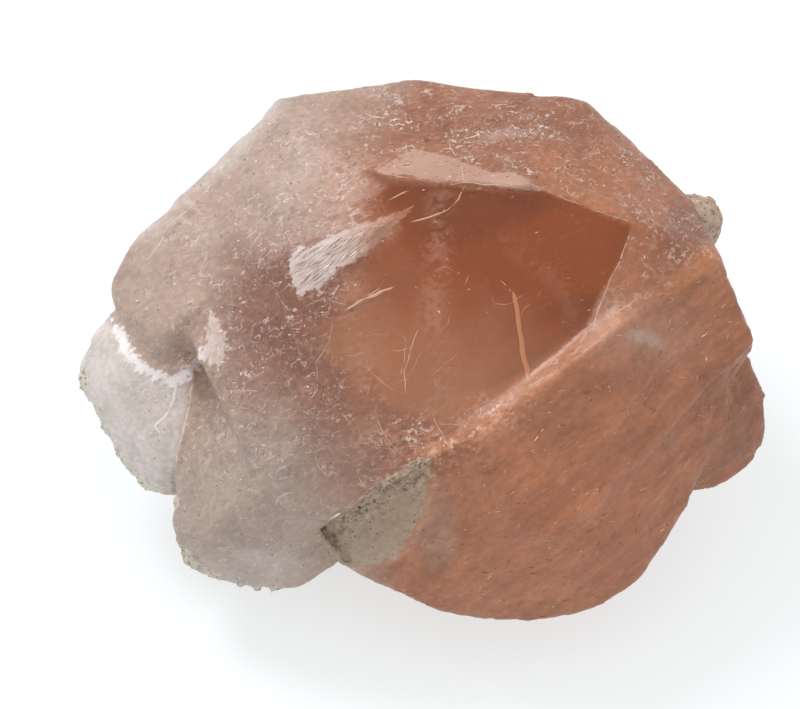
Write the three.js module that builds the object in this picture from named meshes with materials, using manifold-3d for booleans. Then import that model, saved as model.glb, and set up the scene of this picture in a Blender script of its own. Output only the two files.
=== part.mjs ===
// Rough morganite: one broken piece of a pink-orange beryl crystal, about 48 mm across.
//
// The stone is worked out in the axes of its broad face: u runs across the face, v up it,
// and w straight out of it. The face leans back from upright by FACE_LEAN, and the whole
// stone stands on a small flat spot under its back.
//
// Each lump of the stone is a block: the space behind a few flat faces, with its corners
// rounded off. The blocks are joined, scooped and notched as fields, which are negative
// inside the stone and grow by about 1 per millimetre outwards. One skin is wrapped round
// the field, turned to stand up, and cut off flat at the table.
import * as THREE from "three";
import { mergeVertices } from "three/addons/utils/BufferGeometryUtils.js";
import Module from "manifold-3d";

// Driving dimensions, in millimetres and degrees
const STONE_WIDTH = 48;
const FACE_LEAN = 55;
const REST_HEIGHT = 13.4; // from the middle of the stone down to its flat spot
const SKIN_CELL = 1.2; // spacing of the points that wrap the stone
const CRISP = 0.14; // how far a crystal edge is rounded off
const WORN = 0.32; // how far a broken lobe's edges are rounded off
const SEAM = 0.18; // fillet where two lumps grow together
const UNEVEN = 0.05; // height of the slow waves on every face

const WINDOW_DEPTH = 10.4; // how far the clear window stands out of the middle
const LOBE_STEP = 1.6; // how far the broad lobe stands proud of the window

// Where the corners at the stone's two ends lie. Rounding takes a little off each.
const END = STONE_WIDTH / 2 + 0.45;

// A flat face through a point, with the direction it looks in
const face = (at, looks) => ({
  at: new THREE.Vector3(...at),
  looks: new THREE.Vector3(...looks).normalize(),
});

// The two faces that meet along each edge of a lump's outline. The outline runs clockwise,
// as seen from the front, at depth rim; front and back are how far each face leans in.
function rimFaces(outline, { rim, front, back }) {
  const faces = [];
  outline.forEach(([u, v], i) => {
    const [nextU, nextV] = outline[(i + 1) % outline.length];
    const length = Math.hypot(nextU - u, nextV - v);
    const out = [-(nextV - v) / length, (nextU - u) / length];
    for (const [lean, side] of [[front, 1], [back, -1]]) {
      const angle = THREE.MathUtils.degToRad(lean);
      const across = Math.cos(angle);
      faces.push(face([u, v, rim], [out[0] * across, out[1] * across, side * Math.sin(angle)]));
    }
  });
  return faces;
}

// The lumps

const crystal = {
  round: CRISP,
  faces: [
    face([4.5, 3, WINDOW_DEPTH], [0.03, 0.08, 1]), // clear window
    face([4, 11.3, 10.0], [0.03, 0.8, 0.6]), // upper bevel
    face([8.3, 11.0, 9.9], [0.27, 0.73, 0.63]), // upper bevel, right
    face([14.7, 8.75, 9.7], [0.54, 0.68, 0.5]), // corner bevel
    face([14.65, 8.75, 9.64], [0.36, -0.07, 1]), // face right of the window
    face([-7, 8.5, 9.6], [-0.3, 0.42, 0.86]), // upper left
    face([-13.5, 8.5, 5.8], [-0.58, 0.45, 0.68]), // left shoulder
    face([-13.5, 2, 7.6], [-0.6, 0.04, 0.8]), // left
    face([-6, -5.5, 9.9], [-0.2, -0.22, 0.95]), // lower left
    face([-5, 18.3, 2], [-0.137, 0.985, -0.1]), // top prism face, left
    face([6, 18.15, 2], [0.131, 0.986, -0.1]), // top prism face, right
    face([15.15, 13.9, 2.5], [0.69, 0.71, -0.1]), // corner prism face
    face([20.3, 6.6, 5.5], [0.92, 0.39, -0.05]), // right prism face
    face([-11.6, 17.1, 0], [-0.55, 0.83, -0.05]), // blunt corner
    face([-14.1, 12.4, 0.5], [-0.8, 0.6, 0.02]), // left shoulder edge
    face([-19.5, 4, -2], [-0.93, 0.2, -0.3]), // left end
    face([3, 13, -9.0], [0.1, 0.66, -0.75]), // back, top
    face([-9, 3, -11.0], [-0.42, 0.16, -0.89]), // back, left
    face([9, 3, -12.4], [0.36, 0.08, -0.93]), // back, right
    face([16, 4, -8.0], [0.82, 0.1, -0.56]), // back, far right
    face([-16, -3, -5.5], [-0.62, -0.3, -0.72]), // back, far left
    face([0, -7, -12.2], [0.02, -0.4, -0.92]), // back, under
    face([0, -12, -8], [-0.1, -0.8, -0.6]), // underside
    face([0, -13, 0], [-0.1, -1, 0.1]),
    face([-14.8, -2.5, 0], [-0.9, -0.43, 0.05]), // lower left, behind the lower lobe
    face([14, -9, 0], [0.72, -0.69, 0.05]), // lower right, behind the broad lobe
  ],
};

const broadLobe = {
  round: WORN,
  faces: [
    ...rimFaces(
      [
        [20.8, 6.4], [22.2, 3.4], [22.9, 0.9], [22.4, -1.6], [18.9, -10.4], [15.7, -15.5],
        [12.0, -18.2], [5.4, -19.3], [0.2, -18.5], [-2.9, -16.7], [-6.4, -15.1],
        [-9.5, -8.0], [-5.0, 4.0], [6.0, 13.5], [17.5, 10.5],
      ],
      { rim: 3.2, front: 45, back: 30 },
    ),
    face([10.0, 0.3, WINDOW_DEPTH + LOBE_STEP], [0.14, -0.2, 0.97]), // broad front
    face([8, -12.0, 11.2], [0.06, -0.56, 0.83]), // front, rolling under
    face([15.5, -7.5, 9.7], [0.5, -0.42, 0.77]), // front, rolling right
    face([18.0, 1.5, 9.0], [0.58, 0.08, 0.81]), // front, upper right
    face([10.6, -0.3, WINDOW_DEPTH + LOBE_STEP - 0.5], [-0.42, 0.6, 0.68]), // step up from the window
    face([8, -8, -10.5], [0.2, -0.4, -0.9]), // back
    face([17, -3, -7.5], [0.75, -0.25, -0.61]), // back, right
  ],
};

const rightBump = {
  round: WORN,
  faces: [
    ...rimFaces(
      [
        [14, 6.0], [22.7, 0.2], [24.0, -2.9], [END, -4.9], [24.2, -7.0], [22.8, -8.7],
        [18.8, -10.4], [10, -9],
      ],
      { rim: 0.4, front: 42, back: 36 },
    ),
    face([20.5, -5, 6.4], [0.42, -0.1, 0.9]),
    face([19, -5, -6], [0.6, -0.2, -0.77]),
  ],
};

const lowerLobe = {
  round: WORN,
  faces: [
    ...rimFaces(
      [
        [-13.9, 3.0], [-4, 7], [0.5, -3], [-4.8, -14.1], [-8.6, -17.0], [-12.1, -16.8],
        [-16.4, -15.5], [-18.0, -12.6], [-17.9, -9.6], [-17.3, -6.2], [-16.2, -2.0],
      ],
      { rim: 1.6, front: 38, back: 34 },
    ),
    face([-10, -7, 8.9], [-0.2, -0.2, 0.96]), // broad front
    face([-11, -12.5, 7.0], [-0.1, -0.56, 0.82]), // front, rolling under
    face([-10, -9, -7.5], [-0.25, -0.35, -0.9]),
  ],
};

const flange = {
  round: 0.3,
  faces: [
    ...rimFaces(
      [
        [-22.9, 1.9], [-21.2, 4.0], [-15, 4], [-11, -4], [-14, -9.5], [-17.4, -10.6],
        [-19.2, -10.4], [-21.0, -8.6], [-23.6, -4.3], [-END, -1.5],
      ],
      { rim: -1.6, front: 34, back: 38 },
    ),
    face([-18.5, -4, 2.6], [-0.16, -0.1, 0.98]),
    face([-18, -4, -5.5], [-0.35, -0.1, -0.93]),
  ],
};

const nose = {
  round: 0.25,
  faces: [
    ...rimFaces(
      [
        [-16.9, 10.4], [-9.5, 8.5], [-11.5, 2.5], [-14.2, 0.6], [-15.8, -0.7], [-17.3, -1.4],
        [-19.1, -0.8], [-20.4, 0.6], [-21.9, 3.0], [-22.0, 4.9], [-20.6, 7.8],
      ],
      { rim: 2.6, front: 30, back: 28 },
    ),
    face([-17, 3, 6.0], [-0.46, 0.3, 0.83]),
    face([-17, 4, -5.5], [-0.55, 0.1, -0.83]),
  ],
};

// The thin layer that shows behind the left shoulder's edge
const shoulderLayer = {
  round: CRISP,
  faces: [
    face([-17.1, 10.4, 0], [-0.65, 0.76, -0.1]),
    face([-14.5, 13.9, 0], [-0.83, 0.55, -0.1]),
    face([-12.9, 16.0, 0], [-0.62, 0.78, -0.05]),
    face([-15, 11, 2.9], [-0.3, 0.25, 0.92]),
    face([-15, 11, -4.5], [-0.5, 0.4, -0.77]),
    face([-19.5, 6.5, 0], [-0.97, -0.2, 0]),
    face([-10, 6, 0], [0.5, -0.86, 0]),
    face([-12.2, 14.6, 0], [0.9, 0.45, 0]),
  ],
};

const windowLedge = {
  round: 0.12,
  faces: [
    face([4, 11.3, 10.75], [0.0, 0.78, 0.62]), // pale triangular facet
    face([-3.4, 12.3, 10], [-0.35, -0.93, 0.12]),
    face([2.7, 11.35, 10], [-0.07, -0.98, 0.18]),
    face([8.3, 11.0, 10], [0.5, 0.86, 0.1]),
    face([-0.7, 14.2, 10], [-0.5, 0.86, 0.1]),
    face([3, 12, 8], [0, 0, -1]),
  ],
};

const silverFlake = {
  round: 0.1,
  faces: [
    face([-6, 6.6, 10.75], [-0.2, 0.12, 0.97]),
    face([-6.6, 7.6, 10], [-0.33, 0.94, 0.2]),
    face([-9.1, 5.6, 10], [-0.97, -0.15, 0.2]),
    face([-6.4, 4.9, 10], [0.45, -0.88, 0.2]),
    face([-2.2, 8.0, 10], [0.6, -0.2, 0.7]),
    face([-6, 6.6, 8], [0, 0, -1]),
  ],
};

const crustLump = { centre: [19.0, 8.9, 1.0], radii: [1.7, 1.95, 2.1] };

// Shell-shaped hollows where flakes broke away: middle and radii
const scoops = [
  { centre: [-22.6, -16.2, 3.0], radii: [5.6, 6.2, 6.5] }, // under the left flange
  { centre: [6, 24.5, -12.5], radii: [13, 10, 9] }, // behind the top edge
  { centre: [-16, 14, -13.5], radii: [10, 9, 7.5] }, // back of the left shoulder
  { centre: [25.5, -2, -13], radii: [9, 11, 8] }, // back of the right bump
  { centre: [-6, -22, -9], radii: [10, 8, 8] }, // under the lower lobe
  { centre: [14, 14.6, 13.1], radii: [5.2, 4.2, 7] }, // dish in the corner bevel
];

// The grey pocket between the lower lobe and the broad lobe
const pocket = [
  face([-1.2, -11.6, 6.6], [0.4, 0.42, -0.82]), // its floor, which looks out and down
  face([-3.2, -9.85, 6], [-0.49, 0.87, -0.05]), // its wall under the lower lobe
  face([-6.4, -13.4, 6], [-0.8, -0.6, -0.05]), // its left end
];

// Fields

const expSum = (values, round) => {
  const most = Math.max(...values);
  return most + round * Math.log(values.reduce((sum, x) => sum + Math.exp((x - most) / round), 0));
};
const roundedMax = (values, round) => expSum(values, round);
const roundedMin = (values, round) => -expSum(values.map((x) => -x), round);

const behind = ({ at, looks }, p) => looks.dot(p) - looks.dot(at);
const block = ({ faces, round }, p) => roundedMax(faces.map((f) => behind(f, p)), round);

function egg({ centre, radii }, p) {
  const [x, y, z] = [p.x - centre[0], p.y - centre[1], p.z - centre[2]];
  const near = Math.hypot(x / radii[0], y / radii[1], z / radii[2]);
  const steep = Math.hypot(x / radii[0] ** 2, y / radii[1] ** 2, z / radii[2] ** 2);
  return steep < 1e-9 ? -Math.min(...radii) : (near * (near - 1)) / steep;
}

// Slow waves that keep any face from being quite flat
const waves = (p) =>
  UNEVEN *
  (Math.sin(0.71 * p.x + 0.43 * p.y + 1.3) +
    Math.sin(-0.52 * p.x + 0.83 * p.y + 0.37 * p.z + 0.4) +
    Math.sin(0.33 * p.x - 0.47 * p.y + 0.91 * p.z + 2.1));

function stoneField(p) {
  const lumps = [
    crystal, broadLobe, rightBump, lowerLobe, flange, nose, shoulderLayer, windowLedge, silverFlake,
  ];
  const joined = roundedMin([...lumps.map((lump) => block(lump, p)), egg(crustLump, p)], SEAM);
  const notch = Math.max(...pocket.map((f) => behind(f, p)));
  const hollows = scoops.map((scoop) => -egg(scoop, p));
  return Math.max(joined, -notch, ...hollows) + waves(p);
}

const SLOPE_STEP = 0.02;
const slopeSteps = [[SLOPE_STEP, 0, 0], [0, SLOPE_STEP, 0], [0, 0, SLOPE_STEP]].map(
  (step) => new THREE.Vector3(...step),
);
const slopeOf = (field, p) =>
  new THREE.Vector3(
    ...slopeSteps.map((step) => field(p.clone().add(step)) - field(p.clone().sub(step))),
  ).divideScalar(2 * SLOPE_STEP);

// The point of a grid cell that lies nearest to the planes which touch the surface where
// it crosses the cell's edges. On an edge or corner of the stone it falls on that edge.
function cornerOf(field, crossings, low, cell) {
  const STAY_NEAR = 0.04; // weight that holds it to the crossings' middle
  const middle = crossings.reduce((sum, p) => sum.add(p), new THREE.Vector3());
  middle.divideScalar(crossings.length);
  const pull = new THREE.Vector3();
  const sums = [STAY_NEAR, 0, 0, 0, STAY_NEAR, 0, 0, 0, STAY_NEAR];
  for (const p of crossings) {
    const out = slopeOf(field, p).normalize();
    const n = out.toArray();
    const reach = out.dot(p.clone().sub(middle));
    pull.addScaledVector(out, reach);
    for (let r = 0; r < 3; r++) for (let c = 0; c < 3; c++) sums[3 * r + c] += n[r] * n[c];
  }
  const point = pull.applyMatrix3(new THREE.Matrix3(...sums).invert()).add(middle);
  const margin = 0.01 * cell; // keeps the points of neighbouring cells apart
  return point.clamp(low.clone().addScalar(margin), low.clone().addScalar(cell - margin));
}

// Fills the tip of a narrow groove, where a grid square has its two diagonals on either side
// of the surface and the skin would pinch. The outer corner that is nearer the stone is
// taken into it.
function fillPinches(values, count) {
  const JUST_INSIDE = -0.02;
  const steps = [1, count[0], count[0] * count[1]];
  const squares = [[0, 1], [0, 2], [1, 2]].map(([a, b]) => [steps[a], steps[b]]);
  const isIn = (n) => values[n] < 0;
  let filled = 1;
  while (filled) {
    filled = 0;
    for (let n = 0; n < values.length; n++)
      for (const [a, b] of squares) {
        const [near, far] = [[n, n + a + b], [n + a, n + b]];
        const crosswise = isIn(near[0]) === isIn(near[1]) && isIn(far[0]) === isIn(far[1]);
        if (!crosswise || isIn(near[0]) === isIn(far[0])) continue;
        const [p, q] = isIn(n) ? far : near;
        values[values[p] < values[q] ? p : q] = JUST_INSIDE;
        filled++;
      }
  }
}

// Wraps a skin round the field's zero: one point in each grid cell that the surface
// crosses, and a square across each grid edge that it crosses.
function wrapSkin(field, low, high, cell) {
  const count = low.map((x, i) => Math.ceil((high[i] - x) / cell) + 1);
  const index = (i, j, k) => i + count[0] * (j + count[1] * k);
  const place = (i, j, k) => new THREE.Vector3(low[0] + i * cell, low[1] + j * cell, low[2] + k * cell);
  const values = new Float64Array(count[0] * count[1] * count[2]);
  for (let k = 0; k < count[2]; k++)
    for (let j = 0; j < count[1]; j++)
      for (let i = 0; i < count[0]; i++) values[index(i, j, k)] = field(place(i, j, k));
  fillPinches(values, count);

  const corners = [...Array(8).keys()].map((c) => [c & 1, (c >> 1) & 1, (c >> 2) & 1]);
  const edges = [];
  for (let a = 0; a < 8; a++)
    for (const bit of [1, 2, 4]) if (!(a & bit)) edges.push([a, a | bit]);

  const points = [];
  const pointOf = new Map();
  for (let k = 0; k + 1 < count[2]; k++)
    for (let j = 0; j + 1 < count[1]; j++)
      for (let i = 0; i + 1 < count[0]; i++) {
        const at = corners.map(([a, b, c]) => values[index(i + a, j + b, k + c)]);
        const crossed = edges.filter(([a, b]) => at[a] < 0 !== at[b] < 0);
        if (!crossed.length) continue;
        const crossings = crossed.map(([a, b]) =>
          new THREE.Vector3(...corners[a])
            .lerp(new THREE.Vector3(...corners[b]), at[a] / (at[a] - at[b]))
            .multiplyScalar(cell)
            .add(place(i, j, k)),
        );
        pointOf.set(index(i, j, k), points.length);
        points.push(cornerOf(field, crossings, place(i, j, k), cell));
      }

  const squares = [];
  for (let k = 1; k + 1 < count[2]; k++)
    for (let j = 1; j + 1 < count[1]; j++)
      for (let i = 1; i + 1 < count[0]; i++) {
        const inside = values[index(i, j, k)] < 0;
        const across = [
          [index(i + 1, j, k), index(i, j - 1, k - 1), index(i, j, k - 1), index(i, j, k), index(i, j - 1, k)],
          [index(i, j + 1, k), index(i - 1, j, k - 1), index(i - 1, j, k), index(i, j, k), index(i, j, k - 1)],
          [index(i, j, k + 1), index(i - 1, j - 1, k), index(i, j - 1, k), index(i, j, k), index(i - 1, j, k)],
        ];
        for (const [far, ...around] of across) {
          if (inside === values[far] < 0) continue;
          const square = around.map((cellIndex) => pointOf.get(cellIndex));
          squares.push(inside ? square : square.reverse());
        }
      }
  return { points, squares };
}

// Cuts each square along the diagonal that lies closer to the surface, so that a cut
// follows the stone's edges
function trianglesOf(field, { points, squares }) {
  const gap = (a, b) => Math.abs(field(points[a].clone().add(points[b]).divideScalar(2)));
  return squares.flatMap(([a, b, c, d]) =>
    gap(a, c) < gap(b, d) ? [a, b, c, a, c, d] : [a, b, d, b, c, d],
  );
}

function geometryOf(field, skin) {
  const geometry = new THREE.BufferGeometry();
  const places = skin.points.flatMap((p) => p.toArray());
  geometry.setAttribute("position", new THREE.Float32BufferAttribute(places, 3));
  geometry.setIndex(trianglesOf(field, skin));
  return geometry;
}

const wasm = await Module();
wasm.setup();

function solidOf(geometry) {
  const bare = geometry.clone();
  bare.deleteAttribute("normal");
  bare.deleteAttribute("uv");
  const merged = mergeVertices(bare, 1e-4);
  return new wasm.Manifold(
    new wasm.Mesh({
      numProp: 3,
      vertProperties: merged.attributes.position.array,
      triVerts: new Uint32Array(merged.index.array),
    }),
  );
}

function geometryFrom(solid) {
  const mesh = solid.getMesh();
  const geometry = new THREE.BufferGeometry();
  geometry.setAttribute("position", new THREE.Float32BufferAttribute(mesh.vertProperties, mesh.numProp));
  geometry.setIndex(new THREE.BufferAttribute(mesh.triVerts, 1));
  return geometry;
}

// Turns the stone from its broad face's axes so that it stands on the table, and cuts it
// off flat REST_HEIGHT under its middle.
function standOnTable(geometry) {
  const standing = geometry.clone().rotateX(THREE.MathUtils.degToRad(90 - FACE_LEAN));
  const wide = 2 * STONE_WIDTH; // of the table, which is cut away
  const table = new THREE.BoxGeometry(wide, wide, wide).translate(0, 0, -wide / 2 - REST_HEIGHT);
  const cut = geometryFrom(solidOf(standing).subtract(solidOf(table)));
  cut.computeBoundingBox();
  const { min, max } = cut.boundingBox;
  return cut.translate(-(min.x + max.x) / 2, -(min.y + max.y) / 2, -min.z);
}

const GRID_LOW = [-26, -21, -17];
const GRID_HIGH = [26, 21, 15];

const skin = wrapSkin(stoneField, GRID_LOW, GRID_HIGH, SKIN_CELL);

const morganite = new THREE.Mesh(
  standOnTable(geometryOf(stoneField, skin)),
  new THREE.MeshStandardMaterial({ color: "#b07a60", roughness: 0.35, metalness: 0 }),
);
morganite.name = "morganite_crystal";

const stone = new THREE.Group();
stone.add(morganite);

export default stone;
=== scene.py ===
"""Rough morganite: the looks of one broken piece of pink-orange beryl crystal.

The skin is made in the axes of the stone's broad face, in millimetres: u runs across the
face, v up it, and w straight out of it. It is then turned and set down where the frame's
solid stands, in metres.
"""

from __future__ import annotations

import logging
import math
from dataclasses import dataclass, field
from enum import Enum

import bpy
import numpy as np
from mathutils import Matrix, Vector

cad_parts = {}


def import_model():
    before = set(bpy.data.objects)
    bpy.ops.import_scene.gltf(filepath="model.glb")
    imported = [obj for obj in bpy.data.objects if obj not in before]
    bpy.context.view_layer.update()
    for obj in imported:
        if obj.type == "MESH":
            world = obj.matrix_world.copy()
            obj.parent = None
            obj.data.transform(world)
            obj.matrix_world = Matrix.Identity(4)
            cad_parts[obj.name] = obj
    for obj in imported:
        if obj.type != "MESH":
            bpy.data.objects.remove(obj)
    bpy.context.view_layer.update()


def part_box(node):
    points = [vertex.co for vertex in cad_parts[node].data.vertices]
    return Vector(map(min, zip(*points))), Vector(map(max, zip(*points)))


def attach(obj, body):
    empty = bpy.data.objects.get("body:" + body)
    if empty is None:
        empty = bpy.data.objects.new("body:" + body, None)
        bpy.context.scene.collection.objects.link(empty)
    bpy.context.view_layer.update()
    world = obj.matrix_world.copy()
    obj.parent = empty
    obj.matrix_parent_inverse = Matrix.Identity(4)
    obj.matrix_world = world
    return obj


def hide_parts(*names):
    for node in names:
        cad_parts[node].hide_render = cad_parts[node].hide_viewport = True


LOG = logging.getLogger("morganite")

MM = 0.001
NODE = "morganite_crystal"
BODY = "root"

Array = np.ndarray
Point = tuple[float, float]
Place = tuple[float, float, float]
Socket = bpy.types.NodeSocket
Tree = bpy.types.NodeTree
Object = bpy.types.Object
Material = bpy.types.Material


def linear(hex_colour: str) -> tuple[float, float, float, float]:
    """Turns an sRGB hex colour to linear light.

    Args:
        hex_colour: six hex digits after a hash.

    Returns:
        Red, green, blue and an alpha of 1.
    """
    parts = [int(hex_colour[i : i + 2], 16) / 255 for i in (1, 3, 5)]
    light = [c / 12.92 if c <= 0.04045 else ((c + 0.055) / 1.055) ** 2.4 for c in parts]
    return (light[0], light[1], light[2], 1.0)


def smooth(low: float, high: float, x: Array) -> Array:
    """A soft step from 0 at low to 1 at high."""
    t = np.clip((x - low) / (high - low), 0, 1)
    return t * t * (3 - 2 * t)


# Noise


STRETCHES = (1.0, 37.7, 113.3, 211.9, 397.1, 811.7, 1543.3)


def hashed(cell: Array, seed: int) -> Array:
    """Gives each lattice cell a number of its own.

    Args:
        cell: whole-number places, one row each.
        seed: picks one of many unlike patterns.

    Returns:
        A number from 0 to 1 for each row.
    """
    n = cell[:, 0] * 73856093 ^ cell[:, 1] * 19349663 ^ cell[:, 2] * 83492791 ^ seed * 40503
    n = ((n ^ (n >> 13)) * 1274126177) & 0xFFFFFFFF
    n = ((n ^ (n >> 15)) * 668265263) & 0xFFFFFFFF
    return ((n ^ (n >> 16)) & 0xFFFF) / 65535.0


def several(first: Array, count: int) -> list[Array]:
    """Draws more numbers from 0 to 1 out of each one that hashed gave."""
    return [(first * stretch) % 1.0 for stretch in STRETCHES[:count]]


def waves(points: Array, size: float | Place, seed: int) -> Array:
    """Smooth noise whose bumps are about as wide as size.

    Args:
        points: places in millimetres, one row each.
        size: width of a bump, in all directions or along each axis.
        seed: picks one of many unlike patterns.

    Returns:
        A height from -1 to 1 for each point.
    """
    q = points / np.asarray(size, float)
    low = np.floor(q).astype(np.int64)
    t = q - low
    t = t * t * (3 - 2 * t)
    total = np.zeros(len(q))
    for corner in np.ndindex(2, 2, 2):
        share = np.prod(np.where(corner, t, 1 - t), axis=1)
        total += share * hashed(low + np.array(corner), seed)
    return 2 * total - 1


def chips(points: Array, size: float | Place, seed: int) -> Array:
    """A surface of small tilted facets, as on etched or splintered crystal.

    Args:
        points: places in millimetres, one row each.
        size: width of a facet, in all directions or along each axis.
        seed: picks one of many unlike patterns.

    Returns:
        A height of about -1 to 1 for each point.
    """
    q = points / np.asarray(size, float)
    low = np.floor(q).astype(np.int64)
    nearest = np.full(len(q), np.inf)
    height = np.zeros(len(q))
    for step in np.ndindex(3, 3, 3):
        cell = low + np.array(step) - 1
        own = several(hashed(cell, seed), 7)
        away = q - cell - np.stack(own[:3], axis=1)
        far = np.einsum("ij,ij->i", away, away)
        lean = np.einsum("ij,ij->i", away, np.stack(own[3:6], axis=1) - 0.5)
        closer = far < nearest
        nearest = np.where(closer, far, nearest)
        height = np.where(closer, own[6] - 0.5 + 1.6 * lean, height)
    return height


# Flat outlines and lines on the broad face


def line_distance(path: list[Point], points: Array) -> Array:
    """Distance in millimetres from each point's u and v to the nearest stretch of a path."""
    return np.abs(line_side(path, points))


def line_side(path: list[Point], points: Array) -> Array:
    """Distance from each point's u and v to a path, less than 0 on the path's right side.

    Args:
        path: the path's points in u and v, in millimetres.
        points: places in millimetres, one row each.

    Returns:
        Millimetres to the nearest stretch of the path, with a sign for its side.
    """
    nearest = np.full(len(points), np.inf)
    uv = points[:, :2]
    for start, end in zip(path, path[1:]):
        along = np.array(end) - np.array(start)
        away = uv - np.array(start)
        t = np.clip(away @ along / (along @ along), 0, 1)
        far = np.linalg.norm(away - t[:, None] * along, axis=1)
        side = np.where(along[0] * away[:, 1] - along[1] * away[:, 0] < 0, -1, 1)
        nearest = np.where(far < np.abs(nearest), side * far, nearest)
    return nearest


def inside(outline: list[Point], points: Array) -> Array:
    """How far each point lies inside a closed outline.

    Args:
        outline: corners in u and v, in millimetres.
        points: places in millimetres, one row each.

    Returns:
        Millimetres inside the outline, or less than 0 outside it.
    """
    u, v = points[:, 0], points[:, 1]
    within = np.zeros(len(points), bool)
    for (u0, v0), (u1, v1) in zip(outline, outline[1:] + outline[:1]):
        if v0 == v1:
            continue
        crosses = (v0 > v) != (v1 > v)
        within ^= crosses & (u < (u1 - u0) * (v - v0) / (v1 - v0) + u0)
    far = line_distance(outline + outline[:1], points)
    return np.where(within, far, -far)


# The stone's form


def rounded_max(values: Array, round_mm: float) -> Array:
    """The greatest value of each row, rounded where two are close."""
    most = values.max(axis=1)
    return most + round_mm * np.log(np.exp((values - most[:, None]) / round_mm).sum(axis=1))


@dataclass(frozen=True)
class Face:
    """A flat face: a point on it and the direction that it looks in."""

    at: Place
    looks: Place


def faces(*rows: tuple[float, ...]) -> list[Face]:
    """Faces out of rows of six numbers: a point on the face, and then the way that it looks."""
    return [Face(row[:3], row[3:]) for row in rows]


def planes(each: list[Face]) -> tuple[Array, Array]:
    """The directions of some faces, one row each, and how far along them the faces lie."""
    looks = np.array([face.looks for face in each])
    looks /= np.linalg.norm(looks, axis=1)[:, None]
    return looks, np.einsum("ij,ij->i", looks, np.array([face.at for face in each]))


@dataclass(frozen=True)
class Rim:
    """The two faces that meet along each edge of a lump's outline.

    The outline runs clockwise as seen from the front, at depth w. Front and back are how
    many degrees each face leans in.
    """

    outline: list[Point]
    w: float
    front: float
    back: float

    def faces(self) -> list[Face]:
        """The leaning faces, two for each edge."""
        made = []
        for (u0, v0), (u1, v1) in zip(self.outline, self.outline[1:] + self.outline[:1]):
            length = math.hypot(u1 - u0, v1 - v0)
            out = (-(v1 - v0) / length, (u1 - u0) / length)
            for lean, side in ((self.front, 1), (self.back, -1)):
                angle = math.radians(lean)
                across = math.cos(angle)
                looks = (out[0] * across, out[1] * across, side * math.sin(angle))
                made.append(Face((u0, v0, self.w), looks))
        return made


@dataclass(frozen=True)
class Block:
    """A lump: the space behind a few flat faces, with its corners rounded off."""

    round_mm: float
    faces: list[Face]
    rim: Rim | None = None

    def distance(self, points: Array) -> Array:
        """Millimetres outside the lump, or less than 0 inside it."""
        every = self.faces + (self.rim.faces() if self.rim else [])
        looks, reach = planes(every)
        return rounded_max(points @ looks.T - reach, self.round_mm)


@dataclass(frozen=True)
class Egg:
    """A rounded lump or hollow: its middle and its three radii."""

    middle: Place
    radii: Place

    def distance(self, points: Array) -> Array:
        """About how many millimetres outside the egg each point lies."""
        away = points - np.array(self.middle)
        near = np.linalg.norm(away / np.array(self.radii), axis=1)
        steep = np.linalg.norm(away / np.array(self.radii) ** 2, axis=1)
        return near * (near - 1) / np.maximum(steep, 1e-9)


CRUST_LUMP = Egg((19.0, 8.9, 1.0), (1.7, 1.95, 2.1))


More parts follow.
